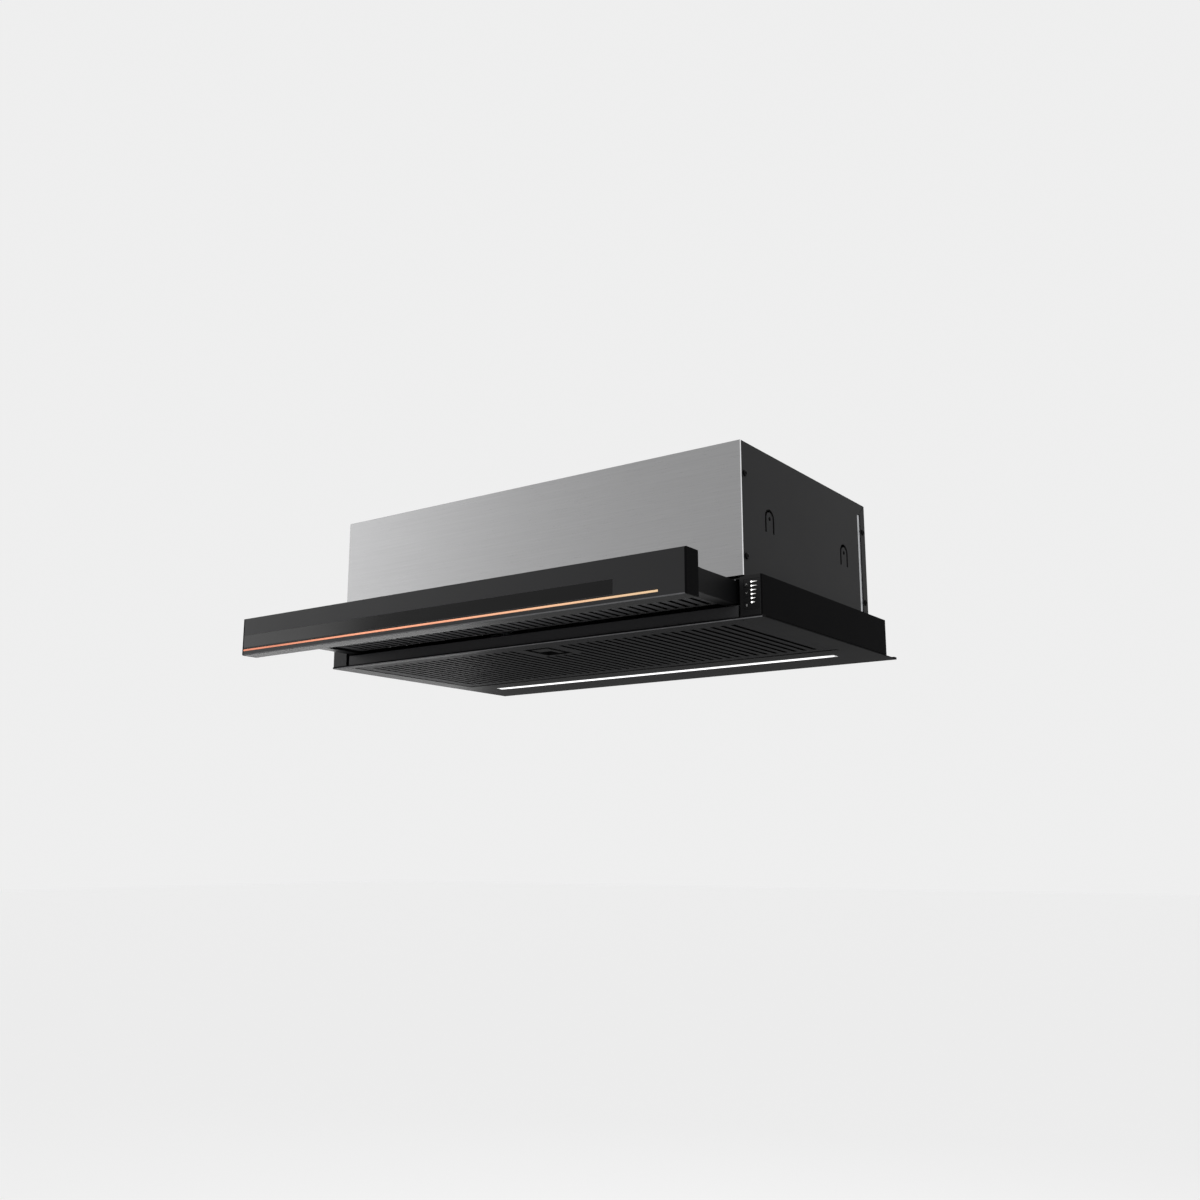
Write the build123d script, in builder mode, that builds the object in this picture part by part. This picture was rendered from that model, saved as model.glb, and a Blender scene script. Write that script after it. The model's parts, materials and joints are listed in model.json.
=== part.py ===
from build123d import *
from math import cos, radians, sin
import os

# A 60 cm telescopic cooker hood, seen with its drawer pulled out.
# Millimetres, +Z up, +X to the right of someone standing in front, +Y towards the wall.
# The origin is under the middle of the whole hood, level with the drawer front's lower edge.
# Depths below count back from the bottom plate's front edge, heights up from its underside.

os.makedirs("parts", exist_ok=True)

# Whole hood
hood_width = 598.0  # bottom plate and drawer front
base_depth = 302.0  # side mouldings and rear wall
base_height = 42.5  # shoulders that meet the cabinet's side panels
plate_overhang = 29.5  # bottom plate past the base at the back
shoulder_width = 19.8  # base wider than the box, each side
box_height = 138.8  # steel front
box_front = 0.4  # box face behind the plate's front edge
box_setback = 0.8  # box rear ahead of the base's rear
drawer_reach = 138.0  # drawer face ahead of the plate's front edge, pulled out
plate_lift = 0.8  # plate's underside above the drawer front's lower edge

# Sheet and moulding thicknesses
sheet = 1.0
plate_sheet = 1.2
wall = 2.2  # moulded walls
rail_sheet = 1.2

# Clearances
seat_gap = 0.3  # between pieces that seat without touching
side_gap = 0.9  # round the filter in its opening
hinge_gap = 1.9  # behind the filter, where it swings down
key_gap = 0.2  # round each push key
shaft_gap = 0.05  # radial, shaft in its bearing
screw_gap = 0.1  # radial, screw in its hole
closed_gap = 1.5  # drawer front to base when pushed in
lift_gap = 1.3  # drawer over the front sill
steel_gap = 1.1  # steel front over the base's shoulders
air_gap = 1.9  # blower over the base

# Filter opening in the bottom plate
opening_side = 26.5  # plate beside the opening
opening_front = 8.5
opening_to_lamp = 37.0  # opening's rear edge ahead of the lamp's middle
flange_height = 9.0

# Drawer
panel_depth = 20.5
end_cap = 2.0
rail_inset = 2.5  # rail's outer face inside the opening's side
rail_width = 15.0
rail_drop = 3.1  # rail's top under the shoulders
rail_stop = 36.0  # rail's rear end ahead of the base's rear, pushed in
bracket_reach = 56.5  # corner bracket behind the drawer front
bracket_skin = 0.8
sill_top = 14.4
cover_overlap = 8.0  # cover sheet behind the plate's front edge

# Slotted sheets
slot_pitch = 12.0
slot_width = 5.0
filter_margin = 15.0  # plain sheet beside the filter's slots
drawer_margin = 10.0
slot_front = 25.0
slot_to_edge = 15.5  # slots' rear ends ahead of the opening's rear edge

# Lamp
lamp_side = 46.0  # plate beside the lamp slot
lamp_width = 14.0
lamp_setback = 37.5  # lamp's middle ahead of the base's rear

# Duct spigot and flaps
duct_offset = 0.8  # spigot's middle ahead of the box's middle
spigot_radius = 59.5
spigot_wall = 2.5
spigot_height = 32.0
pin_radius = 2.0

# Blower
fan_radius = 44.0
fan_half_width = 42.0
blade_count = 26
blade_depth = 8.5
scroll_room = 13.0  # casing beyond the fan, on the side away from the outlet
scroll_growth = 7.5  # more radius for each quarter turn
tongue_angle = 60.0
scroll_side_room = 8.0  # casing beyond the fan's end
scroll_wall = 2.0
inlet_lip = 6.0  # inlet smaller than the fan
shaft_radius = 3.0
motor_radius = 29.0

# Ball slides
slide_height = 17.0
slide_front = 4.0
slide_rear = 34.0  # fixed member's rear end ahead of the base's rear
inner_height = 8.4
inner_length = 250.0
ball_radius = 1.5
cage_length = 120.0
balls_per_row = 2

# Screws and fixing holes
screw_radius = 1.7
screw_head = 3.4
screw_edge = 7.4  # screw rows in from the box's front and rear
screw_low = 20.4  # lower screws above the steel front's lower edge
screw_high = 33.4  # upper screws below the box's top
screw_sides = 12  # screws and their holes are drawn twelve-sided
tab_spacing = 180.0
tab_offset = 1.8  # tabs' middle ahead of the box's middle
tab_hole_radius = 2.2

# Worked out from the sizes above
plate_depth = base_depth + plate_overhang
box_width = hood_width - 2 * shoulder_width
box_rear = base_depth - box_setback
box_middle = (box_front + box_rear) / 2
steel_low = base_height + steel_gap
box_top = steel_low + box_height
half_width = hood_width / 2
half_box = box_width / 2
front_y = (drawer_reach - plate_depth) / 2
lamp_y = base_depth - lamp_setback
lamp_length = hood_width - 2 * lamp_side
half_opening = half_width - opening_side
opening_width = 2 * half_opening
opening_rear = lamp_y - opening_to_lamp
filter_half = half_opening - side_gap
filter_front = opening_front + side_gap
filter_rear = opening_rear - hinge_gap
slot_rear = opening_rear - slot_to_edge
moulding_inner = half_opening + plate_sheet + seat_gap
deck_z = base_height - 0.6  # seat of the box, just under the shoulders
deck_low = deck_z - plate_sheet
panel_height = base_height
panel_front = -drawer_reach
panel_rear = panel_front + panel_depth
panel_low = -plate_lift
panel_top = panel_low + panel_height
drawer_travel = -panel_rear - closed_gap
rail_outer = half_opening - rail_inset
rail_inner = rail_outer - rail_width
rail_low = sill_top + lift_gap
rail_top = base_height - rail_drop
rail_rear = base_depth - rail_stop - drawer_travel
bracket_rear = panel_rear + bracket_reach
slide_z = (rail_low + rail_top) / 2 + 0.75
slide_length = base_depth - slide_rear - slide_front
duct_y = box_middle - duct_offset
tab_middle = box_middle - tab_offset
tab_height = steel_low + box_height / 2
screw_depths = (box_front + screw_edge + 0.2, box_rear - screw_edge + 0.2)
screw_heights = (steel_low + screw_low, box_top - screw_high)
filter_slots = 2 * int((filter_half - filter_margin) / slot_pitch) + 1
drawer_slots = 2 * int((rail_inner - drawer_margin) / slot_pitch) + 1


def level(height):
    """A horizontal sketch plane: x across, y back from the plate's front edge."""
    return Plane(origin=(0, front_y, plate_lift + height))


def across(depth):
    """An upright sketch plane facing forwards: x across, y up from the plate's underside."""
    return Plane(origin=(0, front_y + depth, plate_lift), x_dir=(1, 0, 0), z_dir=(0, -1, 0))


def along(x):
    """An upright sketch plane facing right: x back from the plate's front edge, y up."""
    return Plane(origin=(x, front_y, plate_lift), x_dir=(0, 1, 0), z_dir=(1, 0, 0))


def area(u, v, mode=Mode.ADD):
    """A rectangle between two corners of the open sketch, each side given as (low, high)."""
    with Locations(((u[0] + u[1]) / 2, (v[0] + v[1]) / 2)):
        Rectangle(u[1] - u[0], v[1] - v[0], mode=mode)


def slab(x, y, z, mode=Mode.ADD):
    """A straight block in the open part, each side given as (low, high)."""
    middle = ((x[0] + x[1]) / 2, front_y + (y[0] + y[1]) / 2, plate_lift + (z[0] + z[1]) / 2)
    with Locations(middle):
        Box(x[1] - x[0], y[1] - y[0], z[1] - z[0], mode=mode)


def screw_hole(mode=Mode.ADD):
    """A screw's hole in the open sketch, hidden under the screw's head."""
    RegularPolygon(screw_radius + screw_gap, screw_sides, major_radius=False, mode=mode)


def twin(piece):
    """The left-hand copy of a right-hand piece."""
    with BuildPart() as copy:
        mirror(piece.part, about=Plane.YZ)
    return copy


def save(piece, name):
    """Labels a finished piece and writes its file."""
    piece.part.label = name
    export_step(piece.part, f"parts/{name}.step")


# Bottom plate: one sheet with a hemmed front edge, the flanged filter opening and the lamp slot
hem_depth = opening_front - plate_sheet
bolt_half = 7.0
bolt_low = 2.6
bolt_high = 6.6
lug_x = 180.0
lug_half = 10.0
relief = 1.4  # half the notch at the corners of the bent flanges
with BuildPart() as bottom_plate:
    with BuildSketch(level(0)):
        area((-half_width, half_width), (0, plate_depth))
        area((-half_opening, half_opening), (opening_front, opening_rear), mode=Mode.SUBTRACT)
        with Locations((0, lamp_y)):
            Rectangle(lamp_length, lamp_width, mode=Mode.SUBTRACT)
    extrude(amount=plate_sheet)
    slab((-half_width, half_width), (0, hem_depth), (0, 2 * plate_sheet))
    slab((-half_width, half_width), (plate_depth - hem_depth, plate_depth), (0, 2 * plate_sheet))
    with BuildSketch(level(0)):
        area(
            (-half_opening - plate_sheet, half_opening + plate_sheet),
            (opening_front - plate_sheet, opening_rear + plate_sheet),
        )
        area((-half_opening, half_opening), (opening_front, opening_rear), mode=Mode.SUBTRACT)
    extrude(amount=flange_height)
    slab((-bolt_half, bolt_half), (0, opening_front), (bolt_low, bolt_high), mode=Mode.SUBTRACT)
    # Relief notches where the opening's flanges meet
    for side in (-1, 1):
        for depth in (opening_front, opening_rear):
            across_corner = (side * half_opening - relief, side * half_opening + relief)
            past_corner = (depth - relief, depth + relief)
            slab(across_corner, past_corner, (-1, flange_height + 1), mode=Mode.SUBTRACT)
    for lug in (-lug_x, lug_x):
        slab(
            (lug - lug_half - side_gap, lug + lug_half + side_gap),
            (opening_rear, opening_rear + plate_sheet),
            (plate_sheet, flange_height),
            mode=Mode.SUBTRACT,
        )
    fillet(bottom_plate.edges().filter_by(Axis.X).group_by(Axis.Y)[0], plate_sheet * 0.8)
save(bottom_plate, "bottom_plate")

# Front sill: the low recessed wall that the drawer runs over
sill_face = 1.6
with BuildPart() as front_sill:
    with BuildSketch(along(-half_opening + seat_gap)):
        area((sill_face, sill_face + plate_sheet), (2 * plate_sheet, sill_top))
        area((sill_face, opening_front - plate_sheet), (sill_top - plate_sheet, sill_top))
    extrude(amount=opening_width - 2 * seat_gap)
    bend = front_sill.edges().filter_by(Axis.X).group_by(Axis.Y)[0].sort_by(Axis.Z)[-1]
    fillet(bend, plate_sheet * 0.8)
save(front_sill, "front_sill")

# Side mouldings: hollow channels with ribs, a closed front block and the shoulder on top
block_inner = half_width - 22.5
strip_setback = 4.0
shoulder_inner = half_box + 0.4
seat_inner = half_box + 2.8  # shoulder's seat, clear of the box's screw heads
seat_step = 0.5
moulding_shelf = rail_inner + 1.5
rib_depths = (60.0, 120.0, 180.0, 240.0)
corner_radius = 3.0
window_x = (half_width - 19.7, half_width - 2.3)
window_z = (8.3, 38.7)
post_z = 4.9
board_front = 7.4


def side_moulding(has_controls):
    """The right-hand moulding, with or without the control window in its front block."""
    inside = moulding_inner + wall
    outside = half_width - wall
    with BuildPart() as moulding:
        with BuildSketch(across(0)):
            area((outside, half_width), (plate_sheet + 0.6, base_height))
            area((outside, half_width - 1.0), (plate_sheet, plate_sheet + 0.6))
            area((shoulder_inner, half_width), (base_height - wall, base_height - seat_step))
            area((seat_inner, half_width), (base_height - wall, base_height))
            area((moulding_shelf, shoulder_inner + wall), (deck_low, deck_z))
            area((moulding_inner, inside), (plate_sheet, deck_z))
        extrude(amount=-base_depth)
        slab((block_inner, half_width), (0, wall), (2 * plate_sheet, base_height - seat_step))
        slab(
            (block_inner - wall / 2, block_inner + wall / 2),
            (0, strip_setback + wall),
            (2 * plate_sheet, base_height - seat_step),
        )
        slab(
            (half_opening, block_inner),
            (strip_setback, strip_setback + wall),
            (2 * plate_sheet, deck_z),
        )
        slab((moulding_inner, half_width), (base_depth - wall, base_depth), (plate_sheet, deck_z))
        for rib in rib_depths:
            slab((inside, outside), (rib - 0.8, rib + 0.8), (20.0, deck_low))
        # Room over the plate's front hem, and the recess beside the front block
        slab((moulding_inner, half_width), (0, hem_depth), (0, 2 * plate_sheet), mode=Mode.SUBTRACT)
        beside_block = (moulding_shelf, block_inner - wall / 2)
        slab(beside_block, (-1, strip_setback), (0, base_height), mode=Mode.SUBTRACT)
        outer_corner = moulding.edges().filter_by(Axis.Z).group_by(Axis.Y)[0].sort_by(Axis.X)[-1]
        fillet(outer_corner, corner_radius * 0.7)
        if has_controls:
            slab(window_x, (-1, wall + 0.01), window_z, mode=Mode.SUBTRACT)
            with BuildSketch(across(wall)):
                with Locations((window_x[0] + 2.2, post_z), (window_x[1] - 2.7, post_z)):
                    Circle(1.6)
            extrude(amount=wall - board_front)
    return moulding


right_side_moulding = side_moulding(True)
left_side_moulding = twin(side_moulding(False))
save(right_side_moulding, "right_side_moulding")
save(left_side_moulding, "left_side_moulding")

# Rear wall of the base, flanged top and bottom
wall_flange = 14.0
with BuildPart() as rear_wall:
    with BuildSketch(along(-moulding_inner)):
        area((base_depth - plate_sheet, base_depth), (plate_sheet, deck_low))
        area((base_depth - wall_flange, base_depth), (plate_sheet, 2 * plate_sheet))
    extrude(amount=2 * moulding_inner)
    with BuildSketch(along(-moulding_shelf + seat_gap)):
        area((base_depth - wall_flange, base_depth), (deck_low, deck_z))
    extrude(amount=2 * (moulding_shelf - seat_gap))
save(rear_wall, "rear_wall")

# Brushed steel front of the box, with folded edges and returns behind the side panels
return_depth = 20.0
screw_front = screw_depths[0]
screw_rear = screw_depths[1]
with BuildPart() as steel_front:
    with BuildSketch(level(steel_low)):
        area((-half_box, half_box), (box_front, box_front + sheet))
        for side in (-1, 1):
            edge = sorted((side * (half_box - 2 * sheet), side * half_box))
            area(edge, (box_front, box_front + 1.6))
    extrude(amount=box_top - steel_low)
    fillet(steel_front.edges().filter_by(Axis.Z).group_by(Axis.Y)[0], 0.5)
    for side in (-1, 1):
        leg = sorted((side * (half_box - 2 * sheet), side * (half_box - sheet)))
        slab(leg, (box_front + sheet, return_depth), (steel_low, box_top - 2 * sheet - 0.2))
    slab((-half_box + 12, half_box - 12), (box_front + sheet, 14), (steel_low, steel_low + sheet))
    with BuildSketch(along(-half_box - 1)):
        with Locations(*[(screw_front, height) for height in screw_heights]):
            screw_hole()
    extrude(amount=box_width + 2, mode=Mode.SUBTRACT)
save(steel_front, "steel_front")

# Side panels: hook tabs lanced in the sheet, flanges top and bottom, and the rear notch
side_front = box_front + 1.8
side_rear = box_rear - 12.4
notch_front = side_rear - 7.8
notch_top = box_top - 13.4
notch_radius = 3.5
tab_width = 20.0
tab_slot = 3.2
tab_low = tab_height - 15.0
side_flange = 14.0
mitre_drop = 10.4  # rear panel's side flanges, cut back below the box's top
mitre_gap = 0.7
mitre_rear = box_rear - sheet - (box_rear - sheet - side_rear) * mitre_gap / mitre_drop
tab_depths = (tab_middle - tab_spacing / 2, tab_middle + tab_spacing / 2)
with BuildPart() as right_side_panel:
    with BuildSketch(along(half_box - sheet)):
        area((side_front, side_rear), (deck_z, box_top))
        with Locations((notch_front + notch_radius, notch_top - notch_radius)):
            Circle(notch_radius, mode=Mode.SUBTRACT)
        area((notch_front, side_rear), (deck_z, notch_top - notch_radius), mode=Mode.SUBTRACT)
        area((notch_front + notch_radius, side_rear), (deck_z, notch_top), mode=Mode.SUBTRACT)
        # Corner over the rear flange, down to the mitre
        with BuildLine():
            Polyline(
                (side_rear, box_top),
                (side_rear, box_top - mitre_drop + mitre_gap),
                (mitre_rear, box_top),
                close=True,
            )
        make_face()
        for depth in tab_depths:
            with Locations((depth, tab_height)):
                Circle(tab_width / 2, mode=Mode.SUBTRACT)
            slot_span = (depth - tab_width / 2, depth + tab_width / 2)
            area(slot_span, (tab_low, tab_height), mode=Mode.SUBTRACT)
            with Locations((depth, tab_height)):
                Circle(tab_width / 2 - tab_slot)
            area(
                (depth - tab_width / 2 + tab_slot, depth + tab_width / 2 - tab_slot),
                (tab_low, tab_height),
            )
            with Locations((depth, tab_height)):
                Circle(tab_hole_radius, mode=Mode.SUBTRACT)
        with Locations(*[(screw_front, height) for height in screw_heights]):
            screw_hole(Mode.SUBTRACT)
    extrude(amount=sheet)
    inside = (half_box - side_flange, half_box - sheet)
    slab(inside, (return_depth + 2, notch_front - 10), (deck_z, deck_z + sheet))
    slab(inside, (return_depth + 2, notch_front - 10), (box_top - 2 * sheet, box_top - sheet))
left_side_panel = twin(right_side_panel)
save(right_side_panel, "right_side_panel")
save(left_side_panel, "left_side_panel")

# Bare zinc corner strips behind the side panels' rear notches
strip_low = deck_z + sheet + 0.6
strip_high = box_top - 2 * sheet - 0.1
with BuildPart() as right_corner_strip:
    slab(
        (half_box - 2 * sheet, half_box - sheet),
        (notch_front - 9, box_rear - sheet),
        (strip_low, strip_high),
    )
    slab(
        (half_box - 18, half_box - sheet),
        (box_rear - 2 * sheet, box_rear - sheet),
        (strip_low, strip_high),
    )
    with BuildSketch(along(half_box - 3 * sheet)):
        with Locations(*[(screw_rear, height) for height in screw_heights]):
            screw_hole()
    extrude(amount=3 * sheet, mode=Mode.SUBTRACT)
left_corner_strip = twin(right_corner_strip)
save(right_corner_strip, "right_corner_strip")
save(left_corner_strip, "left_corner_strip")

# Rear panel: wraps round the corners, with its side flanges cut back at the top
with BuildPart() as rear_panel:
    with BuildSketch(level(deck_z)):
        area((-half_box, half_box), (box_rear - sheet, box_rear))
        for side in (-1, 1):
            leg = sorted((side * (half_box - sheet), side * half_box))
            area(leg, (side_rear + seat_gap, box_rear))
    extrude(amount=box_top - deck_z)
    slab((-half_box + 20, half_box - 20), (box_rear - 12, box_rear), (deck_z, deck_z + sheet))
    with BuildSketch(along(-half_box - 1)):
        with BuildLine():
            Polyline(
                (side_rear, box_top + 1),
                (side_rear, box_top - mitre_drop),
                (box_rear - sheet, box_top),
                (box_rear - sheet, box_top + 1),
                close=True,
            )
        make_face()
    extrude(amount=box_width + 2, mode=Mode.SUBTRACT)
    with BuildSketch(along(-half_box - 1)):
        with Locations(*[(screw_rear, height) for height in screw_heights]):
            screw_hole()
    extrude(amount=box_width + 2, mode=Mode.SUBTRACT)
save(rear_panel, "rear_panel")

# Top panel with the outlet hole and the cord's gland hole
collar_screw_ring = spigot_radius + 6.5
gland_x = half_box - 89.2
gland_y = box_rear - 39.2
gland_radius = 7.0
with BuildPart() as top_panel:
    with BuildSketch(level(box_top - sheet)):
        area((-half_box + sheet, half_box - sheet), (box_front + sheet, box_rear - sheet))
        for side in (-1, 1):
            corner = sorted((side * (half_box - 2 * sheet), side * half_box))
            area(corner, (box_front, side_front), mode=Mode.SUBTRACT)
        with Locations((0, duct_y)):
            Circle(spigot_radius - spigot_wall, mode=Mode.SUBTRACT)
            with PolarLocations(collar_screw_ring, 4, start_angle=45):
                screw_hole(Mode.SUBTRACT)
        with Locations((gland_x, gland_y)):
            Circle(gland_radius, mode=Mode.SUBTRACT)
    extrude(amount=sheet)
save(top_panel, "top_panel")

# Duct spigot: flange, tapered-in mouth, ledge under the flaps and the pin's two bores
collar_flange = 2.4
flange_radius = spigot_radius + 11.5
ledge_top = 5.0
pin_height = 6.0
collar_axis = Plane(origin=(0, front_y + duct_y, plate_lift + box_top))
with BuildPart() as duct_collar:
    with BuildSketch(Plane(collar_axis.origin, x_dir=(1, 0, 0), z_dir=(0, -1, 0))):
        with BuildLine():
            Polyline(
                (spigot_radius - spigot_wall, 0),
                (flange_radius, 0),
                (flange_radius, collar_flange),
                (spigot_radius, collar_flange),
                (spigot_radius, spigot_height - 1.5),
                (spigot_radius - 1.0, spigot_height),
                (spigot_radius - spigot_wall, spigot_height),
                (spigot_radius - spigot_wall, ledge_top),
                (spigot_radius - spigot_wall - 3, ledge_top),
                (spigot_radius - spigot_wall - 3, ledge_top - 1.6),
                (spigot_radius - spigot_wall, ledge_top - 1.6),
                close=True,
            )
        make_face()
    revolve(axis=Axis(collar_axis.origin, (0, 0, 1)))
    with BuildSketch(collar_axis):
        with PolarLocations(collar_screw_ring, 4, start_angle=45):
            screw_hole()
    extrude(amount=collar_flange, mode=Mode.SUBTRACT)
    with BuildSketch(across(duct_y - spigot_radius + 0.8)):
        with Locations((0, box_top + pin_height)):
            Circle(pin_radius + shaft_gap)
    extrude(amount=-2 * spigot_radius + 1.6, mode=Mode.SUBTRACT)
save(duct_collar, "duct_collar")

# Flap pin across the spigot
with BuildPart() as flap_pin:
    with BuildSketch(across(duct_y - spigot_radius + 1.0)):
        with Locations((0, box_top + pin_height)):
            Circle(pin_radius)
    extrude(amount=-2 * spigot_radius + 2.0)
save(flap_pin, "flap_pin")

# Two half-round flaps whose knuckles alternate along the pin
flap_radius = spigot_radius - spigot_wall - 1.2
flap_thickness = 1.4
knuckle_radius = pin_radius + 1.5
flap_edge = knuckle_radius + 0.5
knuckle_pitch = (2 * flap_radius - 6) / 4
knuckle_gap = 10.0
knuckle_length = knuckle_pitch - knuckle_gap
flap_middle = box_top + pin_height
flap_level = (flap_middle - flap_thickness / 2, flap_middle + flap_thickness / 2)


def flap(side, places):
    """The flap on one side (-1 left, 1 right), with knuckles at the given places along the pin."""
    with BuildPart() as half:
        with BuildSketch(level(flap_level[0])):
            with Locations((0, duct_y)):
                Circle(flap_radius)
            keep = sorted((side * flap_edge, side * flap_radius))
            area(keep, (duct_y - flap_radius, duct_y + flap_radius), mode=Mode.INTERSECT)
        extrude(amount=flap_thickness)
        for place in places:
            start = (place - 2) * knuckle_pitch + knuckle_gap / 2
            reach = sorted((0, side * (flap_edge + 1)))
            slab(
                reach,
                (duct_y + start, duct_y + start + knuckle_length),
                flap_level,
            )
            with BuildSketch(across(duct_y + start)):
                with Locations((0, flap_middle)):
                    Circle(knuckle_radius)
            extrude(amount=-knuckle_length)
        with BuildSketch(across(duct_y - spigot_radius)):
            with Locations((0, flap_middle)):
                Circle(pin_radius + shaft_gap)
        extrude(amount=-2 * spigot_radius, mode=Mode.SUBTRACT)
    return half


flap_left = flap(-1, (0, 2))
flap_right = flap(1, (1, 3))
save(flap_left, "flap_left")
save(flap_right, "flap_right")

# Blower casing: a scroll of three arcs that widens round the fan and turns up into the outlet
scroll_side = fan_radius + scroll_room
scroll_shift = scroll_growth / 2  # the arcs' centres sit on a square this far from the shaft
tongue_radius = scroll_side - scroll_shift
neck_near = tongue_radius * cos(radians(tongue_angle)) - scroll_shift
neck_far = scroll_side + 2 * scroll_growth
fan_y = duct_y - (neck_near + neck_far) / 2
fan_z = steel_low + air_gap + scroll_side + scroll_growth + scroll_wall
neck_left = fan_y + neck_near
neck_right = fan_y + neck_far
scroll_half_width = fan_half_width + scroll_side_room
inlet_radius = fan_radius - inlet_lip
casing_top = box_top - sheet


def scroll_outline(offset, top):
    """The scroll's outline seen from the right, grown outwards by offset, open upwards to top."""
    first = (fan_y - scroll_shift, fan_z - scroll_shift)
    second = (fan_y + scroll_shift, fan_z - scroll_shift)
    third = (fan_y + scroll_shift, fan_z + scroll_shift)
    small = tongue_radius + offset
    with BuildSketch(along(0)) as outline:
        with BuildLine():
            CenterArc(first, small, tongue_angle, 180 - tongue_angle)
            CenterArc(second, small + scroll_growth, 180, 90)
            CenterArc(third, small + 2 * scroll_growth, 270, 90)
            end = (third[0] + small + 2 * scroll_growth, third[1])
            start = (
                first[0] + small * cos(radians(tongue_angle)),
                first[1] + small * sin(radians(tongue_angle)),
            )
            Line(end, start)
        make_face()
        area((neck_left - offset, neck_right + offset), (fan_z + scroll_shift, top))
    return outline.sketch


flange_half = spigot_radius + 2.5
with BuildPart() as blower_housing_right:
    extrude(scroll_outline(scroll_wall, casing_top), amount=scroll_half_width + scroll_wall)
    flange_depth = (duct_y - flange_half, duct_y + flange_half)
    slab((0, flange_half), flange_depth, (casing_top - scroll_wall, casing_top))
    extrude(scroll_outline(0, casing_top + 1), amount=scroll_half_width, mode=Mode.SUBTRACT)
    with BuildSketch(along(scroll_half_width - 4)):
        with Locations((fan_y, fan_z)):
            Circle(inlet_radius + scroll_wall)
    extrude(amount=4)
    with BuildSketch(level(casing_top)):
        with Locations((0, duct_y)):
            with PolarLocations(collar_screw_ring, 4, start_angle=45):
                screw_hole()
    extrude(amount=-3, mode=Mode.SUBTRACT)
    with BuildSketch(along(scroll_half_width - 5)):
        with Locations((fan_y, fan_z)):
            Circle(inlet_radius)
    extrude(amount=scroll_wall + 6, mode=Mode.SUBTRACT)
blower_housing_left = twin(blower_housing_right)
save(blower_housing_right, "blower_housing_right")
save(blower_housing_left, "blower_housing_left")

# Fan: forward-curved blades on a centre disc and two end rings
blade_inner = fan_radius - blade_depth
blade_middle = fan_radius - blade_depth / 2
blade_thickness_angle = 1.3
hub_radius = 9.0
end_ring = 2.0
ring_edge = 0.6  # end rings past the blades' edges


def polar(radius, angle):
    """A point at a radius and an angle in degrees."""
    return (radius * cos(radians(angle)), radius * sin(radians(angle)))


fan_centre = (0, front_y + fan_y, plate_lift + fan_z)
fan_plane = Plane(origin=fan_centre, x_dir=(0, 1, 0), z_dir=(1, 0, 0))
blade_bend = ((blade_inner, 0), (blade_middle, 3.2), (fan_radius, 11))  # radius and angle
with BuildSketch(Plane.XY) as blade:
    with BuildLine():
        Polyline(
            *[polar(radius, angle) for radius, angle in blade_bend],
            *[polar(radius, angle - blade_thickness_angle) for radius, angle in blade_bend[::-1]],
            close=True,
        )
    make_face()
with BuildPart() as impeller:
    with BuildSketch(fan_plane):
        with PolarLocations(0, blade_count):
            add(blade.sketch)
    extrude(amount=fan_half_width, both=True)
    with BuildSketch(fan_plane):
        Circle(blade_middle)
    extrude(amount=1.0, both=True)
    with BuildSketch(fan_plane):
        Circle(hub_radius)
    extrude(amount=hub_radius, both=True)
    for end in (-fan_half_width, fan_half_width - end_ring):
        with BuildSketch(fan_plane.offset(end)):
            Circle(fan_radius + ring_edge)
            Circle(blade_inner - ring_edge, mode=Mode.SUBTRACT)
        extrude(amount=end_ring)
    with BuildSketch(fan_plane):
        Circle(shaft_radius)
    extrude(amount=2 * hub_radius, both=True, mode=Mode.SUBTRACT)
save(impeller, "impeller")

# Motor inside the fan's left half, its shaft, and the three-armed bracket that carries it
motor_ends = (-scroll_half_width - 16.0, -12.0)
shaft_ends = (motor_ends[0] - 2.0, 12.0)
bracket_faces = (-scroll_half_width - scroll_wall - 3, -scroll_half_width - scroll_wall)
with BuildPart() as fan_shaft:
    with BuildSketch(fan_plane.offset(shaft_ends[0])):
        Circle(shaft_radius)
    extrude(amount=shaft_ends[1] - shaft_ends[0])
save(fan_shaft, "fan_shaft")
with BuildPart() as motor:
    with BuildSketch(fan_plane.offset(motor_ends[0])):
        Circle(motor_radius)
    extrude(amount=motor_ends[1] - motor_ends[0])
    chamfer(motor.edges().filter_by(GeomType.CIRCLE), 3)
    with BuildSketch(fan_plane.offset(motor_ends[1] - 1)):
        Circle(hub_radius)
    extrude(amount=2.4)
    with BuildSketch(fan_plane.offset(motor_ends[0] - 1)):
        Circle(shaft_radius + shaft_gap)
    extrude(amount=motor_ends[1] - motor_ends[0] + 4, mode=Mode.SUBTRACT)
save(motor, "motor")
with BuildPart() as motor_bracket:
    with BuildSketch(fan_plane.offset(bracket_faces[0])):
        Circle(motor_radius + 3)
        with PolarLocations(inlet_radius, 3, start_angle=90):
            Rectangle(26, 9)
        Circle(motor_radius, mode=Mode.SUBTRACT)
        with PolarLocations(inlet_radius + 8, 3, start_angle=90):
            screw_hole(Mode.SUBTRACT)
    extrude(amount=bracket_faces[1] - bracket_faces[0])
save(motor_bracket, "motor_bracket")

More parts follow.
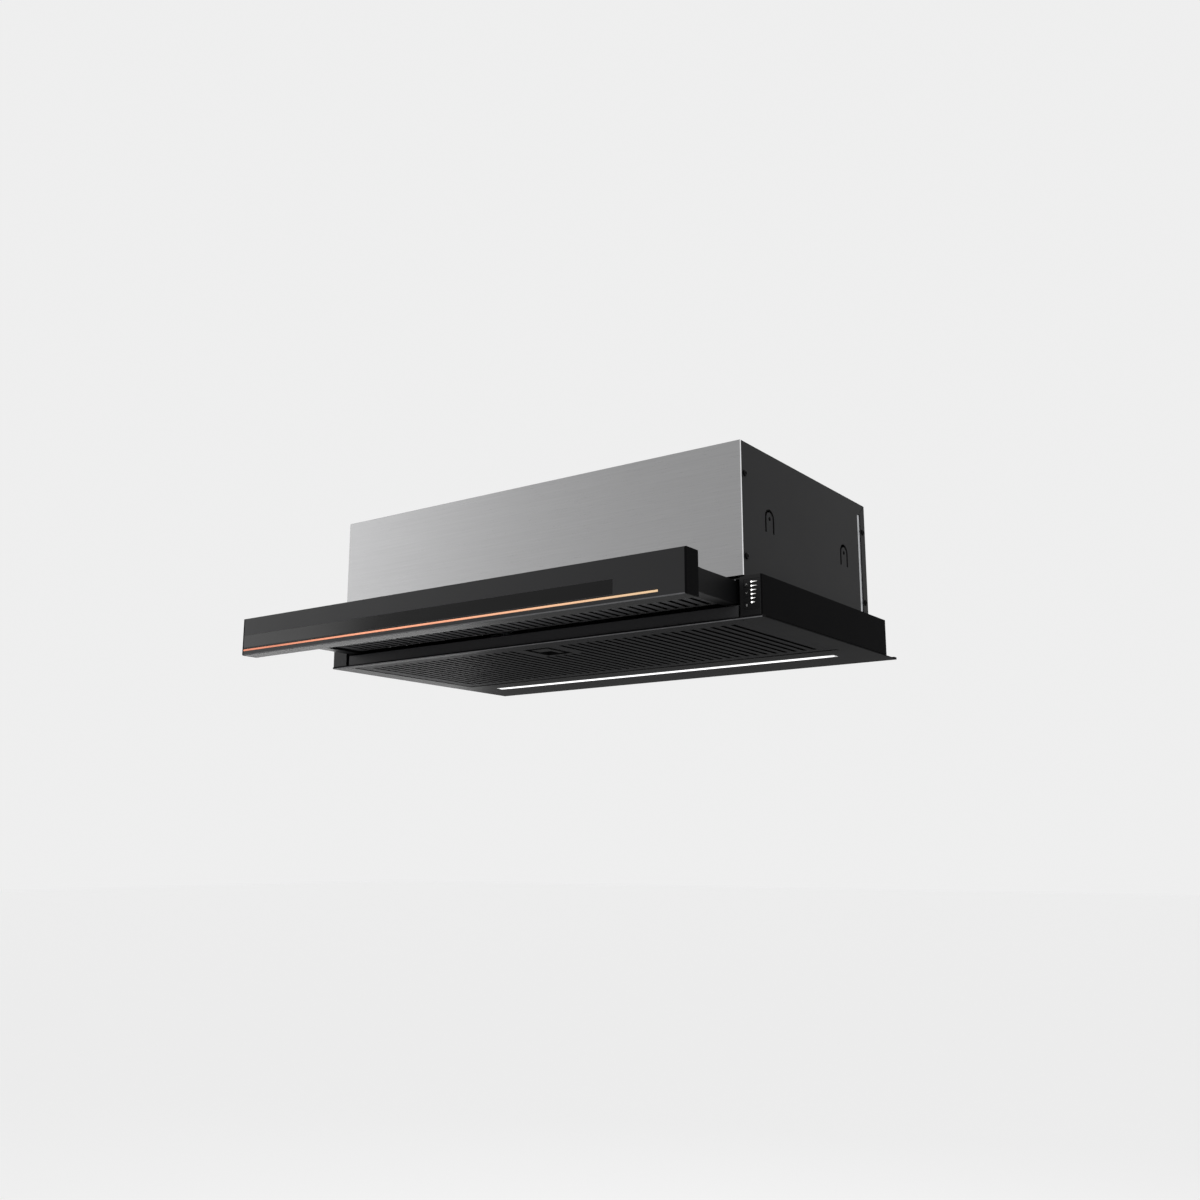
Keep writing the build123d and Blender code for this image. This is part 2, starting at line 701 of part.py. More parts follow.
# Electronics box under the top panel, its lid, and the cord's gland above it
box_x = (gland_x - 50.0, gland_x + 50.0)
box_y = (gland_y - 40.0, gland_y + 28.0)
box_z = (casing_top - 35.4, casing_top)
with BuildPart() as electronics_box:
    slab(box_x, box_y, box_z)
    slab(
        (box_x[0] + 2, box_x[1] - 2),
        (box_y[0] + 2, box_y[1] - 2),
        (box_z[0] - 1, box_z[1] - 2),
        mode=Mode.SUBTRACT,
    )
    with BuildSketch(level(box_z[1] - 3)):
        with Locations((gland_x, gland_y)):
            Circle(gland_radius)
    extrude(amount=5, mode=Mode.SUBTRACT)
    fillet(electronics_box.edges().filter_by(Axis.Z).group_by(Axis.Y)[0], 3)
save(electronics_box, "electronics_box")
with BuildPart() as electronics_lid:
    slab(box_x, box_y, (box_z[0] - 2, box_z[0]))
    slab(
        (box_x[0] + 2.3, box_x[1] - 2.3),
        (box_y[0] + 2.3, box_y[1] - 2.3),
        (box_z[0] - 1, box_z[0] + 3),
    )
    slab(
        (box_x[0] + 4.3, box_x[1] - 4.3),
        (box_y[0] + 4.3, box_y[1] - 4.3),
        (box_z[0], box_z[0] + 4),
        mode=Mode.SUBTRACT,
    )
save(electronics_lid, "electronics_lid")
cord_radius = 3.6
gland_height = 9.0
gland_head = 10.0
gland_mouth = 7.8  # outer radius at the gland's upper end
gland_neck = 6.0  # below the top panel's upper face
gland_seat = Plane(
    origin=(gland_x, front_y + gland_y, plate_lift + box_top), x_dir=(1, 0, 0), z_dir=(0, -1, 0)
)
with BuildPart() as cable_gland:
    with BuildSketch(gland_seat):
        with BuildLine():
            Polyline(
                (cord_radius, -gland_neck),
                (gland_radius - screw_gap, -gland_neck),
                (gland_radius - screw_gap, 0),
                (gland_head, 0),
                (gland_mouth, gland_height),
                (cord_radius, gland_height),
                close=True,
            )
        make_face()
    revolve(axis=Axis(gland_seat.origin, (0, 0, 1)))
save(cable_gland, "cable_gland")

# Lamp: opal diffuser in the plate's slot, aluminium channel over it, and the lamp board
diffuser_gap = 0.2
channel_height = 12.0
channel_half = lamp_width / 2 + 4.0
with BuildPart() as led_diffuser:
    with BuildSketch(level(0)):
        with Locations((0, lamp_y)):
            RectangleRounded(lamp_length - 2 * diffuser_gap, lamp_width - 2 * diffuser_gap, 1.0)
    extrude(amount=plate_sheet)
    with BuildSketch(level(plate_sheet)):
        with Locations((0, lamp_y)):
            Rectangle(lamp_length + 4, lamp_width + 4)
    extrude(amount=1.2)
save(led_diffuser, "led_diffuser")
with BuildPart() as led_channel:
    with BuildSketch(along(-lamp_length / 2 - 4)):
        area((lamp_y - channel_half, lamp_y + channel_half), (plate_sheet, channel_height))
        area(
            (lamp_y - channel_half + 1.4, lamp_y + channel_half - 1.4),
            (plate_sheet - 1, channel_height - 1.4),
            mode=Mode.SUBTRACT,
        )
    extrude(amount=lamp_length + 8)
save(led_channel, "led_channel")
led_pitch = 14.0
led_count = 36
with BuildPart() as led_board:
    slab(
        (-lamp_length / 2, lamp_length / 2),
        (lamp_y - 5, lamp_y + 5),
        (channel_height - 3.0, channel_height - 1.4),
    )
    with BuildSketch(level(channel_height - 3.0)):
        with Locations((0, lamp_y)):
            with GridLocations(led_pitch, 1, led_count, 1):
                Rectangle(3.5, 2.8)
    extrude(amount=-0.8)
save(led_board, "led_board")

# Controls in the right front block: fascia, light bars, three push keys and their board
key_x = (half_width - 19.1, half_width - 13.5)
key_heights = (33.5, 24.5, 12.5)
key_height = 6.0
key_proud = 0.4
key_travel = 0.6
bar_left = half_width - 12.0
bar_low = 15.2
bar_pitch = 4.07
bar_height = 2.4
bar_lengths = (4.5, 5.1, 5.7, 6.3, 6.9, 7.5)
fascia_flange = 1.2
window_gap = 0.15
fascia_back = wall + fascia_flange
key_back = fascia_back + 1.2
key_flange = 0.6
with BuildPart() as control_fascia:
    slab(
        (window_x[0] + window_gap, window_x[1] - window_gap),
        (0.1, wall),
        (window_z[0] + window_gap, window_z[1] - window_gap),
    )
    slab(
        (window_x[0] - 1.0, window_x[1] + 0.05),
        (wall, wall + fascia_flange),
        (window_z[0] - 1.2, window_z[1] + 1.2),
    )
    for height in key_heights:
        slab(
            (key_x[0] - key_gap, key_x[1] + key_gap),
            (-1, wall + fascia_flange + 1),
            (height - key_height / 2 - key_gap, height + key_height / 2 + key_gap),
            mode=Mode.SUBTRACT,
        )
    for step, length in enumerate(bar_lengths):
        middle = bar_low + step * bar_pitch
        slab(
            (bar_left - 0.05, bar_left + length + 0.05),
            (-1, wall + fascia_flange + 1),
            (middle - bar_height / 2 - 0.05, middle + bar_height / 2 + 0.05),
            mode=Mode.SUBTRACT,
        )
save(control_fascia, "control_fascia")
with BuildPart() as light_bars:
    for step, length in enumerate(bar_lengths):
        middle = bar_low + step * bar_pitch
        slab(
            (bar_left, bar_left + length),
            (0.1, wall + fascia_flange),
            (middle - bar_height / 2, middle + bar_height / 2),
        )
    slab(
        (bar_left, bar_left + bar_lengths[-1]),
        (wall + fascia_flange, wall + fascia_flange + 1.4),
        (bar_low - bar_height, bar_low + 5 * bar_pitch + bar_height),
    )
save(light_bars, "light_bars")
for name, height in zip(("button_up", "button_down", "button_lamp"), key_heights):
    with BuildPart() as button:
        slab(
            key_x,
            (-key_proud, key_back),
            (height - key_height / 2, height + key_height / 2),
        )
        slab(
            (key_x[0] - key_flange, key_x[1] + key_flange),
            (fascia_back + key_gap, key_back),
            (height - key_height / 2 - key_flange, height + key_height / 2 + key_flange),
        )
        fillet(button.edges().group_by(Axis.Y)[0], 0.3)
    save(button, name)
with BuildPart() as control_board:
    slab(
        (window_x[0] - 0.7, window_x[1] - 0.3),
        (board_front, board_front + 1.6),
        (post_z - 1.7, base_height - wall - seat_gap),
    )
    for height in key_heights:
        slab(
            (key_x[0] + 0.4, key_x[1] - 0.4),
            (key_back + key_travel + 0.1, board_front),
            (height - 2.2, height + 2.2),
        )
    for step in range(len(bar_lengths)):
        middle = bar_low + step * bar_pitch
        lamp_height = (middle - 0.8, middle + 0.8)
        slab((bar_left + 0.6, bar_left + 3.4), (board_front - 1, board_front), lamp_height)
save(control_board, "control_board")

# Ball slides: fixed member on its hanger, moving member on the drawer, ball cage between
hanger_x = moulding_shelf + 1.0
member_x = hanger_x + sheet
inner_face = rail_outer - rail_sheet
inner_lip = member_x + 4.0
ball_x = member_x + 5.6
ball_z = (inner_height / 2 + slide_height / 2 - sheet) / 2
inner_front = -110.0
cage_front = slide_front + 8.0
with BuildPart() as slide_outer_right:
    with BuildSketch(across(slide_front)):
        area((hanger_x, member_x), (slide_z - slide_height / 2, deck_low))
        area((hanger_x, inner_face - 0.4), (deck_low - sheet, deck_low))
        area((member_x, member_x + sheet), (slide_z - slide_height / 2, slide_z + slide_height / 2))
        for side in (-1, 1):
            outer = slide_z + side * slide_height / 2
            lip = sorted((outer, outer - side * sheet))
            curl = sorted((outer, outer - side * 2.2))
            area((member_x, member_x + 9.0), lip)
            area((member_x + 8.0, member_x + 9.0), curl)
    extrude(amount=-slide_length)
slide_outer_left = twin(slide_outer_right)
save(slide_outer_right, "slide_outer_right")
save(slide_outer_left, "slide_outer_left")
with BuildPart() as slide_inner_right:
    with BuildSketch(across(inner_front)):
        inner_span = (slide_z - inner_height / 2, slide_z + inner_height / 2)
        area((inner_face - 1.2, inner_face), inner_span)
        for side in (-1, 1):
            outer = slide_z + side * inner_height / 2
            area((inner_lip, inner_face), sorted((outer, outer - side * sheet)))
    extrude(amount=-inner_length)
slide_inner_left = twin(slide_inner_right)
save(slide_inner_right, "slide_inner_right")
save(slide_inner_left, "slide_inner_left")
# Each ball is drawn with eight sides and sloping ends, inside its sphere
ball_waist = ball_radius * sin(radians(22.5))
with BuildPart() as slide_ball:
    with BuildSketch(Plane.XY.offset(-ball_waist)):
        RegularPolygon(ball_radius * cos(radians(22.5)), 8)
    extrude(amount=2 * ball_waist)
    for side in (-1, 1):
        with BuildSketch(Plane(origin=(0, 0, side * ball_waist), z_dir=(0, 0, side))):
            RegularPolygon(ball_radius * cos(radians(22.5)), 8)
        extrude(amount=0.9 * (ball_radius - ball_waist), taper=45)
with BuildPart() as ball_cage_right:
    with BuildSketch(across(cage_front)):
        area((inner_lip - 1.6, inner_lip - 0.9), (slide_z - ball_z - 0.3, slide_z + ball_z + 0.3))
        for side in (-1, 1):
            middle = slide_z + side * ball_z
            area((inner_lip - 1.6, ball_x + 1.2), (middle - 0.3, middle + 0.3))
    extrude(amount=-cage_length)
    ball_step = (cage_length - 10) / (balls_per_row - 1)
    for side in (-1, 1):
        for ball in range(balls_per_row):
            place = (
                ball_x,
                front_y + cage_front + 5 + ball * ball_step,
                plate_lift + slide_z + side * ball_z,
            )
            with Locations(place):
                add(slide_ball.part)
ball_cage_left = twin(ball_cage_right)
save(ball_cage_right, "ball_cage_right")
save(ball_cage_left, "ball_cage_left")

# Microswitch that the left rail presses when the drawer is home
switch_front = rail_rear + drawer_travel + 6.0
switch_x = -member_x - 5.5
switch_length = 14.0
with BuildPart() as drawer_switch:
    with BuildSketch(along(switch_x - 6)):
        area((switch_front, switch_front + switch_length), (slide_z - 6, slide_z + 6))
    extrude(amount=12)
    with BuildSketch(along(switch_x - 4)):
        area((switch_front - 5.4, switch_front - 4.6), (slide_z - 4, slide_z + 5))
        area((switch_front - 5.4, switch_front), (slide_z + 4.2, slide_z + 5))
    extrude(amount=8)
    with BuildSketch(along(switch_x - 2)):
        area((switch_front + switch_length, base_depth - plate_sheet), (slide_z - 4, slide_z + 4))
    extrude(amount=4)
save(drawer_switch, "drawer_switch")

# Drawer front: a hollow extrusion with pockets for the gloss band and the copper strip
panel_half = half_width - end_cap
panel_wall = 1.8
band_z = (8.0, 22.0)
band_right = half_width - 79.0
band_depth = 1.2
copper_z = (4.0, 7.0)
copper_right = half_width - 30.0
copper_depth = 1.0
with BuildPart() as drawer_panel:
    with BuildSketch(along(-panel_half)):
        area((panel_front, panel_rear), (panel_low, panel_top))
        area(
            (panel_front + panel_wall + 1.0, panel_rear - panel_wall),
            (panel_low + panel_wall, panel_top - panel_wall),
            mode=Mode.SUBTRACT,
        )
    extrude(amount=2 * panel_half)
    slab(
        (-panel_half, band_right),
        (panel_front, panel_front + band_depth),
        band_z,
        mode=Mode.SUBTRACT,
    )
    slab(
        (-panel_half, copper_right),
        (panel_front, panel_front + copper_depth),
        copper_z,
        mode=Mode.SUBTRACT,
    )
    level_edges = drawer_panel.edges().filter_by(Axis.X)
    long_edges = level_edges.filter_by(lambda edge: edge.length > 2 * panel_half - 1)
    front_edges = long_edges.group_by(Axis.Y)[0]
    chamfer(front_edges.sort_by(Axis.Z)[0], 1.0)
    fillet(front_edges.sort_by(Axis.Z)[-1], 0.8)
save(drawer_panel, "drawer_panel")
with BuildPart() as gloss_band:
    slab((-panel_half, band_right), (panel_front, panel_front + band_depth), band_z)
save(gloss_band, "gloss_band")
with BuildPart() as copper_strip:
    slab((-panel_half, copper_right), (panel_front, panel_front + copper_depth), copper_z)
save(copper_strip, "copper_strip")
with BuildPart() as end_cap_right:
    with BuildSketch(along(panel_half)):
        area((panel_front, panel_rear), (panel_low, panel_top))
    extrude(amount=end_cap)
    chamfer(end_cap_right.edges().filter_by(Axis.X).group_by(Axis.Y)[0].sort_by(Axis.Z)[0], 1.0)
    fillet(end_cap_right.edges().group_by(Axis.X)[-1], 0.5)
    with BuildSketch(along(panel_half)):
        area(
            (panel_front + panel_wall + 1.2, panel_rear - panel_wall - 0.2),
            (panel_low + panel_wall + 0.2, panel_top - panel_wall - 0.2),
        )
    extrude(amount=-8)
    slab(
        (panel_half - 9, panel_half),
        (panel_front + panel_wall + 2.8, panel_rear - panel_wall - 1.8),
        (panel_low + panel_wall + 1.8, panel_top - panel_wall - 1.8),
        mode=Mode.SUBTRACT,
    )
end_cap_left = twin(end_cap_right)
save(end_cap_right, "end_cap_right")
save(end_cap_left, "end_cap_left")

# Drawer rails: deep channels open at the top, round the ball slides
cover_low = rail_top - 0.2 - sheet
with BuildPart() as drawer_rail_right:
    with BuildSketch(across(panel_rear)):
        area((rail_inner, rail_outer), (rail_low, rail_low + rail_sheet))
        area((rail_outer - rail_sheet, rail_outer), (rail_low, rail_top))
        area((rail_inner, rail_inner + rail_sheet), (rail_low, cover_low))
    extrude(amount=panel_rear - rail_rear)
    lower = drawer_rail_right.edges().filter_by(Axis.Y).group_by(Axis.Z)[0]
    fillet(lower, 0.8)
drawer_rail_left = twin(drawer_rail_right)
save(drawer_rail_right, "drawer_rail_right")
save(drawer_rail_left, "drawer_rail_left")

# Corner brackets: a skin outside each rail and a foot on the drawer front's back
with BuildPart() as drawer_bracket_right:
    with BuildSketch(along(rail_outer)):
        area((panel_rear, bracket_rear), (rail_low, rail_top))
    extrude(amount=bracket_skin)
    rear_edges = drawer_bracket_right.edges().filter_by(Axis.X).group_by(Axis.Y)[-1]
    fillet(rear_edges.sort_by(Axis.Z)[-1], 7.0)
    slab((rail_outer, rail_outer + 8), (panel_rear, panel_rear + 1.2), (rail_low, rail_top))
drawer_bracket_left = twin(drawer_bracket_right)
save(drawer_bracket_right, "drawer_bracket_right")
save(drawer_bracket_left, "drawer_bracket_left")

# Slotted sheet under the drawer, flanged up all round
grille_z = rail_low + 3.3
grille_slot_front = panel_rear + 4.5
grille_slot_rear = 0.5
grille_rear = 5.0
with BuildPart() as drawer_grille:
    with BuildSketch(level(grille_z)):
        area((-rail_inner, rail_inner), (panel_rear, grille_rear))
    extrude(amount=sheet)
    with BuildSketch(level(grille_z)):
        area((-rail_inner, rail_inner), (panel_rear, grille_rear))
        area(
            (-rail_inner + sheet, rail_inner - sheet),
            (panel_rear + sheet, grille_rear - sheet),
            mode=Mode.SUBTRACT,
        )
    extrude(amount=8)
    with BuildSketch(level(grille_z)):
        with Locations((0, (grille_slot_front + grille_slot_rear) / 2)):
            with GridLocations(slot_pitch, 1, drawer_slots, 1):
                Rectangle(slot_width, grille_slot_rear - grille_slot_front)
    extrude(amount=sheet, mode=Mode.SUBTRACT)
save(drawer_grille, "drawer_grille")

# Cover sheet over the drawer and the bar across the rails' rear ends
with BuildPart() as drawer_cover:
    with BuildSketch(level(cover_low)):
        area((-rail_inner - rail_sheet, rail_inner + rail_sheet), (panel_rear, cover_overlap))
    extrude(amount=sheet)
    with BuildSketch(along(-rail_inner + 1)):
        area((panel_rear, panel_rear + sheet), (cover_low - 9, cover_low))
        area((cover_overlap - sheet, cover_overlap), (cover_low - 5, cover_low))
    extrude(amount=2 * rail_inner - 2)
save(drawer_cover, "drawer_cover")
bar_z = (slide_z - 6.3, slide_z + 5.7)
with BuildPart() as drawer_rear_bar:
    with BuildSketch(along(-rail_inner)):
        area((rail_rear - 12, rail_rear), bar_z)
        area(
            (rail_rear - 13, rail_rear - rail_sheet),
            (bar_z[0] + rail_sheet, bar_z[1] - rail_sheet),
            mode=Mode.SUBTRACT,
        )
    extrude(amount=2 * rail_inner)
save(drawer_rear_bar, "drawer_rear_bar")

# Grease filter: slotted face with a turned-up rim and two beaded lugs over the plate's rear edge
filter_low = 0.5
filter_top = 10.0
filter_sheet = 1.0
cup_half = 18.5
cup_front = 26.0
cup_rear = 74.0
patch_rear = 78.0
patch_slots = 5
stem_half = 5.0
lug_sheet = 1.2
lug_reach = 4.5
bead_radius = 0.9
pivot_z = plate_sheet + seat_gap + bead_radius
with BuildPart() as filter_face:
    with BuildSketch(level(filter_low)):
        area((-filter_half, filter_half), (filter_front, filter_rear))
    extrude(amount=filter_sheet)
    with BuildSketch(level(filter_low)):
        area((-filter_half, filter_half), (filter_front, filter_rear))
        area(
            (-filter_half + filter_sheet, filter_half - filter_sheet),
            (filter_front + filter_sheet, filter_rear - filter_sheet),
            mode=Mode.SUBTRACT,
        )
    extrude(amount=filter_top - filter_low)
    with BuildSketch(level(filter_low)):
        for slot in range(filter_slots):
            x = (slot - (filter_slots - 1) / 2) * slot_pitch
            front = patch_rear if abs(x) < patch_slots / 2 * slot_pitch else slot_front
            area((x - slot_width / 2, x + slot_width / 2), (front, slot_rear))
        area((-cup_half, cup_half), (cup_front, cup_rear))
    extrude(amount=filter_sheet, mode=Mode.SUBTRACT)
    slab(
        (-stem_half - 0.6, stem_half + 0.6),
        (filter_front - 1, filter_front + filter_sheet + 1),
        (bolt_low + 0.2, bolt_high - 0.2),
        mode=Mode.SUBTRACT,
    )
    for lug in (-lug_x, lug_x):
        with BuildSketch(along(lug - lug_half)):
            area(
                (filter_rear - filter_sheet, opening_rear + lug_reach),
                (pivot_z - lug_sheet / 2, pivot_z + lug_sheet / 2),
            )
            with Locations((opening_rear, pivot_z)):
                Circle(bead_radius)
        extrude(amount=2 * lug_half)
save(filter_face, "filter_face")

# Mesh pad and the retaining frame that holds it in the filter
mesh_low = 4.5
retainer_low = filter_top - 1.6
cup_room = cup_half + 3.0
with BuildPart() as filter_mesh:
    with BuildSketch(level(mesh_low)):
        area(
            (-filter_half + filter_sheet + 0.5, filter_half - filter_sheet - 0.5),
            (filter_front + filter_sheet + 0.5, filter_rear - filter_sheet - 0.5),
        )
        area((-cup_room, cup_room), (filter_front, cup_rear + 3), mode=Mode.SUBTRACT)
    extrude(amount=retainer_low - mesh_low)
save(filter_mesh, "filter_mesh")
cross_bars = 4
with BuildPart() as filter_retainer:
    with BuildSketch(level(retainer_low)):
        area(
            (-filter_half + filter_sheet, filter_half - filter_sheet),
            (filter_front + filter_sheet, filter_rear - filter_sheet),
        )
        bay = (2 * (filter_half - filter_sheet) - 8) / (cross_bars + 1)
        for step in range(cross_bars + 1):
            left = -filter_half + filter_sheet + 8 + step * bay
            area(
                (left, left + bay - 8),
                (filter_front + filter_sheet + 8, filter_rear - filter_sheet - 8),
                mode=Mode.SUBTRACT,
            )
        area((-cup_room, cup_room), (filter_front, cup_rear + 3), mode=Mode.SUBTRACT)
    extrude(amount=1.0)
save(filter_retainer, "filter_retainer")

# Latch cup in the filter's face, and the sprung handle that slides in it
cup_wall = 1.2
cup_top = 9.4
handle_x = (-13.0, 10.0)
handle_y = (35.0, 51.0)
arm_x = (3.0, 10.0)
arm_rear = 66.0
latch_travel = 6.0
with BuildPart() as latch_cup:
    with BuildSketch(level(filter_low)):
        area((-cup_half + 0.1, cup_half - 0.1), (cup_front + 0.1, cup_rear - 0.1))
    extrude(amount=cup_top - filter_low)
    with BuildSketch(level(filter_low + filter_sheet)):
        area((-cup_half - 2.4, cup_half + 2.4), (cup_front - 2.4, cup_rear + 2.4))
    extrude(amount=1)
    with BuildSketch(level(filter_low)):
        area((-cup_half + cup_wall, cup_half - cup_wall), (cup_front + cup_wall, cup_rear - cup_wall))
    extrude(amount=cup_top - cup_wall - filter_low, mode=Mode.SUBTRACT)
    slab(
        (-stem_half - 0.3, stem_half + 0.3),
        (cup_front - 1, cup_front + cup_wall + 1),
        (bolt_low + 0.3, bolt_high - 0.3),
        mode=Mode.SUBTRACT,
    )
save(latch_cup, "latch_cup")
nose_y = opening_front + seat_gap
with BuildPart() as filter_latch:
    slab(handle_x, handle_y, (filter_low + 0.4, filter_low + 2.4))
    slab(arm_x, (handle_y[1], arm_rear), (filter_low + 0.4, filter_low + 2.4))
    slab(handle_x, (handle_y[1] - 1.6, handle_y[1]), (filter_low + 0.4, cup_top - cup_wall - 0.3))
    slab((-stem_half, stem_half), (nose_y, handle_y[0] + 6), (bolt_low + 0.6, bolt_high - 0.6))
    slab((-stem_half, stem_half), (handle_y[0], handle_y[0] + 6), (filter_low + 0.4, bolt_high - 0.6))
save(filter_latch, "filter_latch")

# Pan-head screws: eight in the box's sides and four in the duct spigot's flange
head_height = 1.8
shank = 6.0
head_taper = 18.0
with BuildPart() as screw:
    with BuildSketch(Plane.XY.offset(-shank)):
        RegularPolygon(screw_radius, screw_sides)
    extrude(amount=shank)
    with BuildSketch(Plane.XY):
        RegularPolygon(screw_head, screw_sides)
    extrude(amount=head_height, taper=head_taper)
side_seats = [
    Plane(
        origin=(side * half_box, front_y + depth, plate_lift + height),
        x_dir=(0, 1, 0),
        z_dir=(side, 0, 0),
    )
    for side in (-1, 1)
    for depth in screw_depths
    for height in screw_heights
]
with BuildPart() as case_screws:
    with Locations(*side_seats):
        add(screw.part)
    with Locations(collar_axis.offset(collar_flange)):
        with PolarLocations(collar_screw_ring, 4, start_angle=45):
            add(screw.part)
save(case_screws, "case_screws")
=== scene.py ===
import json
import math

import bmesh
import bpy
import numpy as np
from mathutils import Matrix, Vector


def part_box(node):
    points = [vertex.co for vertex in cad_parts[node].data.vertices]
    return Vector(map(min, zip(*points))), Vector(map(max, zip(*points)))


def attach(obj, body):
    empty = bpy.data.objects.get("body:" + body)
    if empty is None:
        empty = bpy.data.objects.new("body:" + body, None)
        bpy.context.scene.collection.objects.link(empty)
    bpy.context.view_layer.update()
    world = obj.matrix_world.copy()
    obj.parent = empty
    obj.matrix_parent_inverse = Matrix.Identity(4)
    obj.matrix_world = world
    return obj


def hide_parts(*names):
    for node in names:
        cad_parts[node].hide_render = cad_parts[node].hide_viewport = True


# A telescopic cooker hood with its drawer pulled out: finishes, small details, light and camera.
# Metres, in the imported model's own frame: +X right, +Y to the wall, +Z up.

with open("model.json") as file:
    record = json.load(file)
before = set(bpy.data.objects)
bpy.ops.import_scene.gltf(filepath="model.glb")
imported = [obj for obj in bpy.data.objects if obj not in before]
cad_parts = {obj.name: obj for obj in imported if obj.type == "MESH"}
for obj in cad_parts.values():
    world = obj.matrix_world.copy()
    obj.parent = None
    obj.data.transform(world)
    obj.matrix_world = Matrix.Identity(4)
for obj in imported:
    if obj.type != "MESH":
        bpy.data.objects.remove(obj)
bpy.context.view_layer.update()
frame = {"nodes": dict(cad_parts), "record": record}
slotOf = {part["node"]: part["material_slot"] for part in frame["record"]["subparts"]}
bodyOf = {
    nodeName: body
    for body, members in frame["record"]["behaviour"]["bodies"].items()
    for nodeName in members
}
print("frame loaded:", len(frame["nodes"]), "nodes")


# Shader building blocks


def startMaterial(name):
    made = bpy.data.materials.new(name)
    made.use_nodes = True
    return made, made.node_tree, made.node_tree.nodes["Principled BSDF"]


# Adds a shader node; an input given as a socket is linked, anything else is a plain value
def addNode(tree, kind, inputs, **settings):
    node = tree.nodes.new("ShaderNode" + kind)
    for key, value in settings.items():
        setattr(node, key, value)
    for key, value in inputs.items():
        if isinstance(value, bpy.types.NodeSocket):
            tree.links.new(value, node.inputs[key])
        else:
            node.inputs[key].default_value = value
    return node


# Object coordinates stretched by three factors, so that grain can run one way
def stretched(tree, stretch=(1, 1, 1)):
    place = addNode(tree, "TexCoord", {})
    return addNode(tree, "Mapping", {"Vector": place.outputs["Object"], "Scale": stretch}).outputs[0]


def noise(tree, where, scale, detail=3.0, roughness=0.5):
    inputs = {"Vector": where, "Scale": scale, "Detail": detail, "Roughness": roughness}
    return addNode(tree, "TexNoise", inputs).outputs["Fac"]


# Carries a pattern onto the span between two values
def spread(tree, pattern, low, high, fromLow=0.3, fromHigh=0.7):
    inputs = {"Value": pattern, "From Min": fromLow, "From Max": fromHigh, "To Min": low, "To Max": high}
    return addNode(tree, "MapRange", inputs).outputs[0]


# A colour between two others, by a 0..1 pattern; either may be a socket
def blendColours(tree, pattern, first, second):
    inputs = {0: pattern}
    for key, colour in ((6, first), (7, second)):
        inputs[key] = colour if isinstance(colour, bpy.types.NodeSocket) else (*colour, 1)
    return addNode(tree, "Mix", inputs, data_type="RGBA").outputs[2]


def calculated(tree, operation, first, second):
    return addNode(tree, "Math", {0: first, 1: second}, operation=operation).outputs[0]


def shaded(colour, factor):
    return tuple(min(1.0, part * factor) for part in colour)


# A colour made darker and made lighter by one share
def eitherSide(colour, share):
    return shaded(colour, 1 - share), shaded(colour, 1 + share)


# Links or sets the shader's own sockets
def dress(tree, shader, **sockets):
    for key, value in sockets.items():
        socket = shader.inputs[key.replace("_", " ")]
        if isinstance(value, bpy.types.NodeSocket):
            tree.links.new(value, socket)
        else:
            socket.default_value = value


def bumped(tree, height, strength, distance):
    inputs = {"Height": height, "Strength": strength, "Distance": distance}
    return addNode(tree, "Bump", inputs).outputs[0]


# How a softened copy's face is marked: edges for wear and painted highlights, slot walls for painted shade
def faceMark(tree, mark):
    return addNode(tree, "Attribute", {}, attribute_name=mark).outputs["Fac"]


# How much of an edge's lighter tone shows: wear comes and goes in patches, a painted highlight stays near
# full
def wearAndHighlightEdges(tree, where, look):
    patches = noise(tree, where, look["edgePatchScale"], detail=4)
    shown = spread(tree, patches, look["wearAndHighlightLeast"], look["wearAndHighlightMost"], *look["edgePatchRange"])
    return calculated(tree, "MULTIPLY", faceMark(tree, "wearAndHighlight"), shown)


# Finishes


# Painted sheet or moulded plastic: a fine skin, a slow drift of tone, a little uneven in sheen;
# edges lighter as wear, far lighter as a painted highlight, and slot walls darker as painted shade
def coatedSkin(name, look):
    made, tree, shader = startMaterial(name)
    where = stretched(tree)
    drift = noise(tree, where, look["driftScale"], detail=4)
    colour = blendColours(tree, drift, *eitherSide(look["colour"], look["drift"]))
    # edge mask: wear where the look's edge tone is small, a painted highlight where it is large
    edgeWearAndHighlight = wearAndHighlightEdges(tree, where, look)
    # upright faces darkened where the look's wall tone is low: painted shade in the slots
    colour = blendColours(tree, faceMark(tree, "cut"), colour, shaded(look["colour"], look["wallShadeTone"]))
    skin = noise(tree, where, look["skinScale"])
    if look["speckled"]:
        cells = addNode(tree, "TexVoronoi", {"Vector": where, "Scale": look["skinScale"]})
        skin = calculated(tree, "ADD", cells.outputs["Distance"], skin)
    sheen = noise(tree, where, look["sheenScale"], detail=5)
    level = look["roughness"]
    dress(
        tree, shader,
        Base_Color=blendColours(tree, edgeWearAndHighlight, colour, shaded(look["colour"], look["wearAndHighlightTone"])),
        Roughness=spread(tree, sheen, level - look["sheenDrift"], level + look["sheenDrift"]),
        Normal=bumped(tree, skin, look["skin"], look["skinHeight"]),
        Specular_IOR_Level=look["shine"],
    )
    return made
